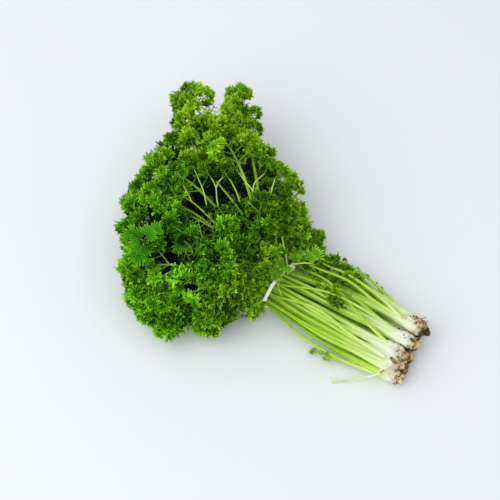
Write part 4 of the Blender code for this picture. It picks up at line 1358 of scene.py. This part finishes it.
def is_clear(name, middle, whole, outer, filled, placed):
    """Whether a leaf's fan runs into nothing that is there, apart from the foot on its own rib."""
    if any((outer if name == other else whole).overlap(tree) for other, tree in filled):
        return False
    near = [fan for fan in placed if (fan[1] - middle).length < FAN_SPAN]
    return not any(outer.overlap(fan[3]) if fan[0] == name else whole.overlap(fan[2]) for fan in near)


def place_fans(leaves, filled):
    """Gives each leaf the fans that find a clear place, one fan for every leaf in turn."""
    placed = []
    for number in range(len(FANS)):
        for leaf in leaves:
            for attempt in range(DRAWS if len(leaf["fans"]) < MOST_FANS else 0):
                points = fan_rim(leaf, number, attempt)
                fan = (leaf["name"], points[1], fan_tree(points, 0.0), fan_tree(points, OWN_SHARE))
                if is_clear(*fan, filled, placed):
                    leaf["fans"][number] = attempt
                    placed.append(fan)
                    break


def grown_plants():
    """All plants, their leaves and fans where they find a clear place, as in the solids."""
    plants = rooted_plants()
    filled = [("tie_band", band_tree())]
    filled += [(f"{plant['name']}_stalks", crown_tree(plant)) for plant in plants]
    for layer in range(len(LAYERS) + 1):
        for plant in plants:
            for leaf in plant["leaves"]:
                if leaf["layer"] == layer:
                    settle(plant, leaf, filled)
    place_fans([leaf for plant in plants for leaf in plant["leaves"]], filled)
    return plants


# ---------------------------------------------------------------- the bunch


def rounded(place, digits=1):
    return Vector([round(value, digits) for value in place])


def dress(plant):
    """Moves a plant's crown and leaves a little from their solids, and gives each leaf its tone."""
    stagger = seeded("stagger", plant["name"])
    off = Vector((stagger.uniform(-3.5, 3.0), stagger.uniform(-0.8, 0.8), 0.0))
    off += Vector(CROWN_MOVES.get(plant["name"], (0, 0, 0)))
    plant["crown"] = rounded(plant["crown"], 2) + off
    for leaf in plant["leaves"]:
        habit = HABITS.get(leaf["name"], {})
        leaf["slot"] = rounded(leaf["slot"]) if leaf["slot"] else None
        leaf["base"] = rounded(leaf["base"]) + Vector(habit.get("move", (0, 0, 0)))
        face_leaf(leaf, *(round(leaf[angle], 1) for angle in ("plan", "leaf_rise", "roll")))
        leaf["size"] = round(leaf["size"], 2)
        leaf["rib"] = RIB * leaf["size"]
        leaf["fold"], leaf["shrink"] = habit.get("fold", 1.0), habit.get("shrink", 1.0)
        leaf["tone"] = habit.get("tone", seeded("tone", leaf["name"]).uniform(0.34, 0.60))


all_plants = grown_plants()
leaf_material, stalk_material = leaf_finish("parsley leaf", LEAF_GREENS), stalk_finish()
flat_material = leaf_finish("flat parsley leaf", FLAT_GREENS)
crown_material = crown_finish()
for plant in all_plants:
    dress(plant)
    stalks_piece(plant, (stalk_material, crown_material))
    for leaf in plant["leaves"]:
        leaf_piece(leaf, (leaf_material, stalk_material))
spray_pieces((leaf_material, stalk_material, flat_material))
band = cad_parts["tie_band"]
band.data.materials.clear()
band.data.materials.append(band_finish())


# ---------------------------------------------------------------- floor, light and camera


def surroundings():
    mesh = bpy.data.meshes.new("floor")
    mesh.from_pydata([(-4, -4, 0), (4, -4, 0), (4, 4, 0), (-4, 4, 0)], [], [(0, 1, 2, 3)])
    mesh.materials.append(floor_finish())
    floor = bpy.data.objects.new("floor", mesh)
    bpy.context.scene.collection.objects.link(floor)
    world = bpy.data.worlds.new("soft studio")
    world.use_nodes = True
    background = world.node_tree.nodes["Background"]
    background.inputs["Color"].default_value = (0.96, 0.98, 1.0, 1.0)
    background.inputs["Strength"].default_value = 0.75
    bpy.context.scene.world = world
    light = bpy.data.lights.new("key", "AREA")
    light.energy, light.size = 15.8, 1.8
    lamp = bpy.data.objects.new("key", light)
    bpy.context.scene.collection.objects.link(lamp)
    lamp.location = Vector((-0.50, -1.05, 1.30))
    lamp.rotation_euler = (-lamp.location).to_track_quat("-Z", "Y").to_euler()


def camera():
    azimuth, elevation = math.radians(36.0), math.radians(58.0)
    flat, high = math.cos(elevation), math.sin(elevation)
    back = Vector((math.sin(azimuth) * flat, -math.cos(azimuth) * flat, high))
    right = Vector((math.cos(azimuth), math.sin(azimuth), 0.0))
    target = TIE + Vector((-0.02949, 0.00349, 0.03))
    lens = bpy.data.cameras.new("camera")
    lens.lens, lens.sensor_width = 85.0, 36.0
    made = bpy.data.objects.new("camera", lens)
    bpy.context.scene.collection.objects.link(made)
    axes = Matrix((right, back.cross(right), back)).transposed().to_4x4()
    made.matrix_world = Matrix.Translation(target + back * 0.885) @ axes
    bpy.context.scene.camera = made


surroundings()
camera()
bpy.context.scene.view_settings.view_transform = "Standard"
